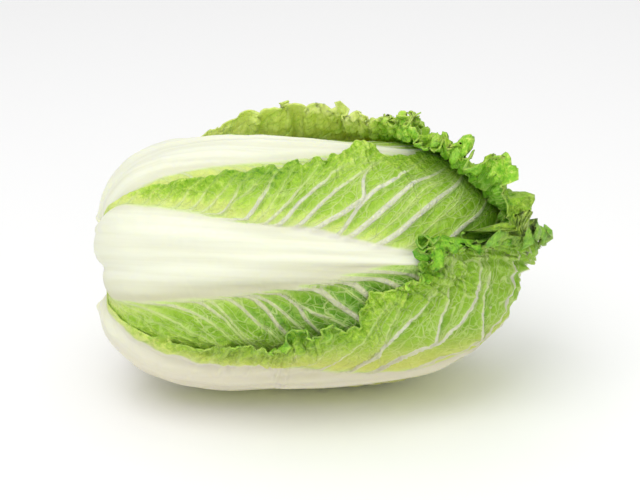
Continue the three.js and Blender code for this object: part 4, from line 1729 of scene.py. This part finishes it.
@dataclass(frozen=True)
class HeartFinish:
    """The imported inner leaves: pale, with broad yellow patches and a paler net of veins."""

    name: str = "heart_leaves"
    pale: Colour = srgb("F1F0C8")
    yellow: Colour = srgb("DDE08A")

    def build(self) -> bpy.types.Material:
        """Makes the material.

        Returns:
            It, on the places of the heart.
        """
        s = Shader(self.name)
        place = s.place()
        broad = s.noise(place, 45, 3)
        net = s.cells(place, 150).rise(0.08, 0.01)
        colour = s.mix(broad.rise(0.35, 0.7), self.pale, self.yellow)
        colour = s.mix(net * 0.5, colour, self.pale)
        return s.finish({
            "Base Color": colour, "Roughness": 0.5 + (broad - 0.5) * 0.15,
            "Normal": s.bump(net * 0.5 + broad, 0.0008)})


@dataclass(frozen=True)
class StemFinish:
    """The cut butt: cream flesh, browner where it has dried at the rim and in its rings."""

    name: str = "stem_flesh"
    flesh: Colour = srgb("EFE9CE")
    dried: Colour = srgb("B99A63")
    ring: Colour = srgb("D8CFA6")

    def build(self) -> bpy.types.Material:
        """Makes the material.

        Returns:
            It, reading how far out each point of the cut is.
        """
        s = Shader(self.name)
        place = s.place()
        broad = s.noise(place, 90, 4, 0.6)
        rim = s.attribute("rim")
        rings = (rim * 9 + broad * 1.6).fraction().rise(0.1, 0.6)
        colour = s.mix(rings * 0.45, self.flesh, self.ring)
        colour = s.mix((rim + (broad - 0.5) * 0.5).rise(0.72, 1.05) * 0.8, colour, self.dried)
        fibres = s.noise(place, 700, 2)
        return s.finish({
            "Base Color": colour, "Roughness": 0.62 + (broad - 0.5) * 0.2,
            "Normal": s.bump(fibres * 0.5 + rings * 0.5, 0.0006)})


@dataclass(frozen=True)
class FloorFinish:
    """A plain white table."""

    name: str = "table_white"
    white: Colour = (0.97, 0.97, 0.97)

    def build(self) -> bpy.types.Material:
        """Makes the material.

        Returns:
            It.
        """
        s = Shader(self.name)
        grain = s.noise(s.place(), 3, 2)
        colour = s.mix(grain * 0.04, self.white, (0.94, 0.94, 0.94))
        return s.finish({"Base Color": colour, "Roughness": 0.7})


# ---------------------------------------------------------------------------------------------
# Pieces
# ---------------------------------------------------------------------------------------------


def made_object(name: str, shape: bmesh.types.BMesh) -> bpy.types.Object:
    """Turns a bmesh into an object of a name, in the scene, and frees it.

    Args:
        name: its name.
        shape: its form.

    Returns:
        The object.
    """
    mesh = bpy.data.meshes.new(name)
    shape.to_mesh(mesh)
    shape.free()
    made = bpy.data.objects.new(name, mesh)
    bpy.context.scene.collection.objects.link(made)
    return made


def set_field(mesh: bpy.types.Mesh, name: str, values: Array) -> None:
    """Stores one number for each point of a mesh."""
    made = mesh.attributes.new(name, "FLOAT", "POINT")
    made.data.foreach_set("value", np.ascontiguousarray(values, np.float32).ravel())


def shade_smooth(mesh: bpy.types.Mesh) -> None:
    """Shades every face of a mesh smooth."""
    mesh.polygons.foreach_set("use_smooth", np.ones(len(mesh.polygons), bool))


@dataclass
class LeafPiece:
    """One leaf as an object."""

    leaf: Leaf
    points: Array
    surface: Surface
    finishes: tuple[bpy.types.Material, bpy.types.Material]
    thickest: float = 9.0

    def build(self) -> bpy.types.Object:
        """Makes the object.

        Returns:
            It, closed, with the node that it stands for hidden.
        """
        rows, columns = self.points.shape[:2]
        shape = bmesh.new()
        bmesh.ops.create_grid(shape, x_segments=rows - 1, y_segments=columns - 1, size=1.0)
        name = self.leaf.sizes.name
        piece = made_object(name + "_dressed", shape)
        mesh = piece.data
        flat = np.zeros(len(mesh.vertices) * 3, np.float32)
        mesh.vertices.foreach_get("co", flat)
        flat = flat.reshape(-1, 3)
        row = np.rint((flat[:, 0] + 1) / 2 * (rows - 1)).astype(int)
        column = np.rint((flat[:, 1] + 1) / 2 * (columns - 1)).astype(int)
        placed = self.points[row, column].astype(np.float32)
        mesh.vertices.foreach_set("co", placed.ravel())
        self.store(piece, row, column)
        for finish in self.finishes:
            mesh.materials.append(finish)
        shade_smooth(mesh)
        shell = piece.modifiers.new("leaf_thickness", "SOLIDIFY")
        shell.thickness = self.thickest * MM
        shell.offset = -1
        shell.vertex_group = "flesh"
        shell.thickness_vertex_group = 0
        shell.material_offset = 1
        shell.material_offset_rim = 0
        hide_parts(name)
        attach(piece, "root")
        LOG.info("%s: %d by %d points", name, rows, columns)
        return piece

    def store(self, piece: bpy.types.Object, row: Array, column: Array) -> None:
        """Puts the leaf's fields on its mesh.

        Args:
            piece: the leaf's object.
            row: each point's row of the grid.
            column: each point's column.
        """
        mesh, surface, veins = piece.data, self.surface, self.surface.veins
        base = Curve(self.leaf.sizes.green)(surface.polar)
        # Deep is painted shade, for a side of the leaf that lies in shadow.
        base = base + self.leaf.by_side(surface.across, lambda s: self.leaf.margin(s).deep)
        near_edge = surface.bare * np.exp(-(surface.to_edge / 15) ** 2)
        # Painted light and shade on the edge's folds: paler green on their crests, deeper in
        # their recesses.
        green = base + (surface.side_table("tint") - base) * near_edge - 0.12 * surface.fold
        for name, grid in (
                ("phase", veins.phase), ("span", veins.span), ("half", veins.half),
                ("fork", veins.fork), ("from_rib", surface.from_rib),
                ("to_edge", surface.to_edge), ("green", green),
                ("painted_rib_shade", surface.painted_rib_shade())):
            set_field(mesh, name, grid[row, column])
        group = piece.vertex_groups.new(name="flesh")
        weights = surface.weights(self.thickest)[row, column]
        levels = np.rint(weights * 200).astype(int)
        order = np.argsort(levels, kind="stable")
        for level, members in zip(*grouped(levels[order], order)):
            group.add(members.tolist(), level / 200, "REPLACE")
        corners = np.zeros(len(mesh.loops), np.int32)
        mesh.loops.foreach_get("vertex_index", corners)
        flat = np.stack((surface.reach * MM, surface.width * surface.sign * MM), axis=-1)
        layer = mesh.uv_layers.new(name="leaf")
        layer.data.foreach_set("uv", flat[row, column][corners].astype(np.float32).ravel())


def grouped(levels: Array, members: Array) -> tuple[list[int], list[Array]]:
    """Splits members by their level.

    Args:
        levels: levels in rising order.
        members: what has each level.

    Returns:
        The levels that occur, and the members of each.
    """
    found, first = np.unique(levels, return_index=True)
    return found.tolist(), np.split(members, first[1:])


@dataclass
class HeartPiece:
    """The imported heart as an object."""

    head: Head
    clearance: float = 0.6

    def build(self) -> bpy.types.Object:
        """Makes the object, a ball pushed out to the heart's form.

        Returns:
            It, with the node that it stands for hidden.
        """
        shape = bmesh.new()
        bmesh.ops.create_icosphere(shape, subdivisions=6, radius=1.0)
        directions = np.array([vertex.co for vertex in shape.verts])
        directions /= np.linalg.norm(directions, axis=-1, keepdims=True)
        radius = self.head.radius(directions) + self.head.relief(directions) - self.clearance
        placed = self.head.placed(directions * radius[:, None])
        for vertex, point in zip(shape.verts, placed):
            vertex.co = Vector(point)
        piece = made_object("heart_dressed", shape)
        piece.data.materials.append(HeartFinish().build())
        shade_smooth(piece.data)
        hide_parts("heart")
        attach(piece, "root")
        LOG.info("heart: %d points", len(piece.data.vertices))
        return piece


@dataclass
class StemPiece:
    """The cut stem as an object, in millimetres along the head's axis from its middle."""

    head: Head
    inner: float = 105.0
    face: float = 115.5
    spread: float = math.tan(8.6 * DEG)
    steps: int = 96
    lip: float = 2.2
    dish: float = 0.95
    dish_rings: tuple[float, ...] = (0.75, 0.6, 0.45, 0.3, 0.15)
    grain: float = 4.0
    roughness: float = 0.35
    lobes: int = 5
    lobe_share: float = 0.012

    def build(self) -> bpy.types.Object:
        """Makes the object: a half section turned about the head's axis.

        Returns:
            It, with the node that it stands for hidden.
        """
        rim = self.face * self.spread
        section = [(0.0, self.inner), (self.inner * self.spread, self.inner),
                   (0.97 * rim, self.face - self.lip), (rim - 0.3, self.face - self.lip / 2),
                   (rim - 1.0, self.face - 0.3), (rim - self.lip, self.face)]
        section += [(rim * s, self.face - 0.9 * (1 - s) ** 0.8) for s in self.dish_rings]
        section += [(0.0, self.face - self.dish)]
        shape = bmesh.new()
        points = [shape.verts.new((-x, r, 0.0)) for r, x in section]
        edges = [shape.edges.new(pair) for pair in zip(points, points[1:])]
        bmesh.ops.spin(shape, geom=points + edges, axis=(1, 0, 0), cent=(0, 0, 0),
                       angle=2 * math.pi, steps=self.steps, use_merge=True)
        bmesh.ops.remove_doubles(shape, verts=shape.verts, dist=1e-3)
        bmesh.ops.recalc_face_normals(shape, faces=shape.faces)
        local = np.array([vertex.co for vertex in shape.verts])
        out = np.hypot(local[:, 1], local[:, 2]) / rim
        turn = np.arctan2(local[:, 2], local[:, 1])
        rough = lattice_noise(local[:, 1] / self.grain, local[:, 2] / self.grain, 90)
        local[:, 0] -= np.where(-local[:, 0] > self.face - 1.2, self.roughness * rough, 0)
        lobed = self.lobe_share * np.sin(self.lobes * turn) * (out > 0.5)
        local[:, 1:] *= (1 + lobed)[:, None]
        for vertex, point in zip(shape.verts, self.head.placed(local)):
            vertex.co = Vector(point)
        piece = made_object("stem_dressed", shape)
        set_field(piece.data, "rim", out)
        piece.data.materials.append(StemFinish().build())
        shade_smooth(piece.data)
        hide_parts("stem")
        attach(piece, "root")
        LOG.info("stem: %d points", len(piece.data.vertices))
        return piece


@dataclass
class Cabbage:
    """The whole head."""

    head: Head = field(default_factory=Head)

    def build(self) -> None:
        """Makes and dresses every piece."""
        leaves = [Leaf(sizes, self.head, layer) for layer, sizes in enumerate(LEAVES)]
        finishes = (OUTER_FINISH.build(), INNER_FINISH.build())
        pile = Pile(self.head, leaves)
        StemPiece(self.head).build()
        HeartPiece(self.head).build()
        for leaf in reversed(leaves):
            points, surface = pile.lay(leaf)
            LeafPiece(leaf, points, surface, finishes).build()


# ---------------------------------------------------------------------------------------------
# The studio
# ---------------------------------------------------------------------------------------------


@dataclass
class Studio:
    """Floor, lights and camera.

    The picture is so many steps wide, and scale is how many millimetres of the head one step
    shows. The camera aims a few steps right of the head's middle and above it.
    """

    head: Head
    frame_width: float = 640.0
    scale: float = 0.615
    distance: float = 1200.0
    elevation: float = 25 * DEG
    aim_off: tuple[float, float] = (20.0, 10.0)

    def build(self) -> None:
        """Sets the studio round the head."""
        self.floor()
        self.world()
        self.light("key", (-0.45, -0.75, 1.6), 1.1, 13.6)
        self.light("top", (0.35, 0.35, 1.7), 1.8, 6.5)
        self.light("fill", (0.7, -1.4, 0.6), 1.6, 4.2)
        self.camera()

    def floor(self) -> None:
        """The table that the head lies on."""
        shape = bmesh.new()
        bmesh.ops.create_grid(shape, x_segments=1, y_segments=1, size=6.0)
        floor = made_object("table", shape)
        floor.data.materials.append(FloorFinish().build())

    def world(self) -> None:
        """Even white light from all round."""
        world = bpy.data.worlds.new("studio")
        world.use_nodes = True
        background = world.node_tree.nodes["Background"]
        background.inputs["Color"].default_value = (1, 1, 1, 1)
        background.inputs["Strength"].default_value = 0.6
        bpy.context.scene.world = world

    def light(self, name: str, place: Place, size: float, power: float) -> None:
        """Adds a square soft light that faces the head.

        Args:
            name: its name.
            place: where it is, in metres.
            size: its side, in metres.
            power: its power in watts.
        """
        data = bpy.data.lights.new(name, "AREA")
        data.size = size
        data.energy = power
        lamp = bpy.data.objects.new(name, data)
        lamp.location = place
        toward = Vector(self.head.centre) * MM - Vector(place)
        lamp.rotation_euler = toward.to_track_quat("-Z", "Y").to_euler()
        bpy.context.scene.collection.objects.link(lamp)

    def camera(self) -> None:
        """A long lens in front of the head, a little above it."""
        data = bpy.data.cameras.new("camera")
        data.sensor_width = 36.0
        data.lens = self.distance / self.scale * data.sensor_width / self.frame_width
        forward = Vector((0, math.cos(self.elevation), -math.sin(self.elevation)))
        right = Vector((1, 0, 0))
        up = right.cross(forward)
        off_right, off_up = (part * self.scale for part in self.aim_off)
        aim = Vector(self.head.centre) + right * off_right + up * off_up
        camera = bpy.data.objects.new("camera", data)
        camera.location = (aim - forward * self.distance) * MM
        camera.rotation_euler = forward.to_track_quat("-Z", "Y").to_euler()
        data.clip_end = 50
        bpy.context.scene.collection.objects.link(camera)
        bpy.context.scene.camera = camera


def main() -> None:
    """Builds the studio and the head."""
    logging.basicConfig(level=logging.INFO, format="%(name)s: %(message)s")
    bpy.context.scene.view_settings.view_transform = "Standard"
    cabbage = Cabbage()
    Studio(cabbage.head).build()
    cabbage.build()
    bpy.context.view_layer.update()


if __name__ == "__main__":
    main()
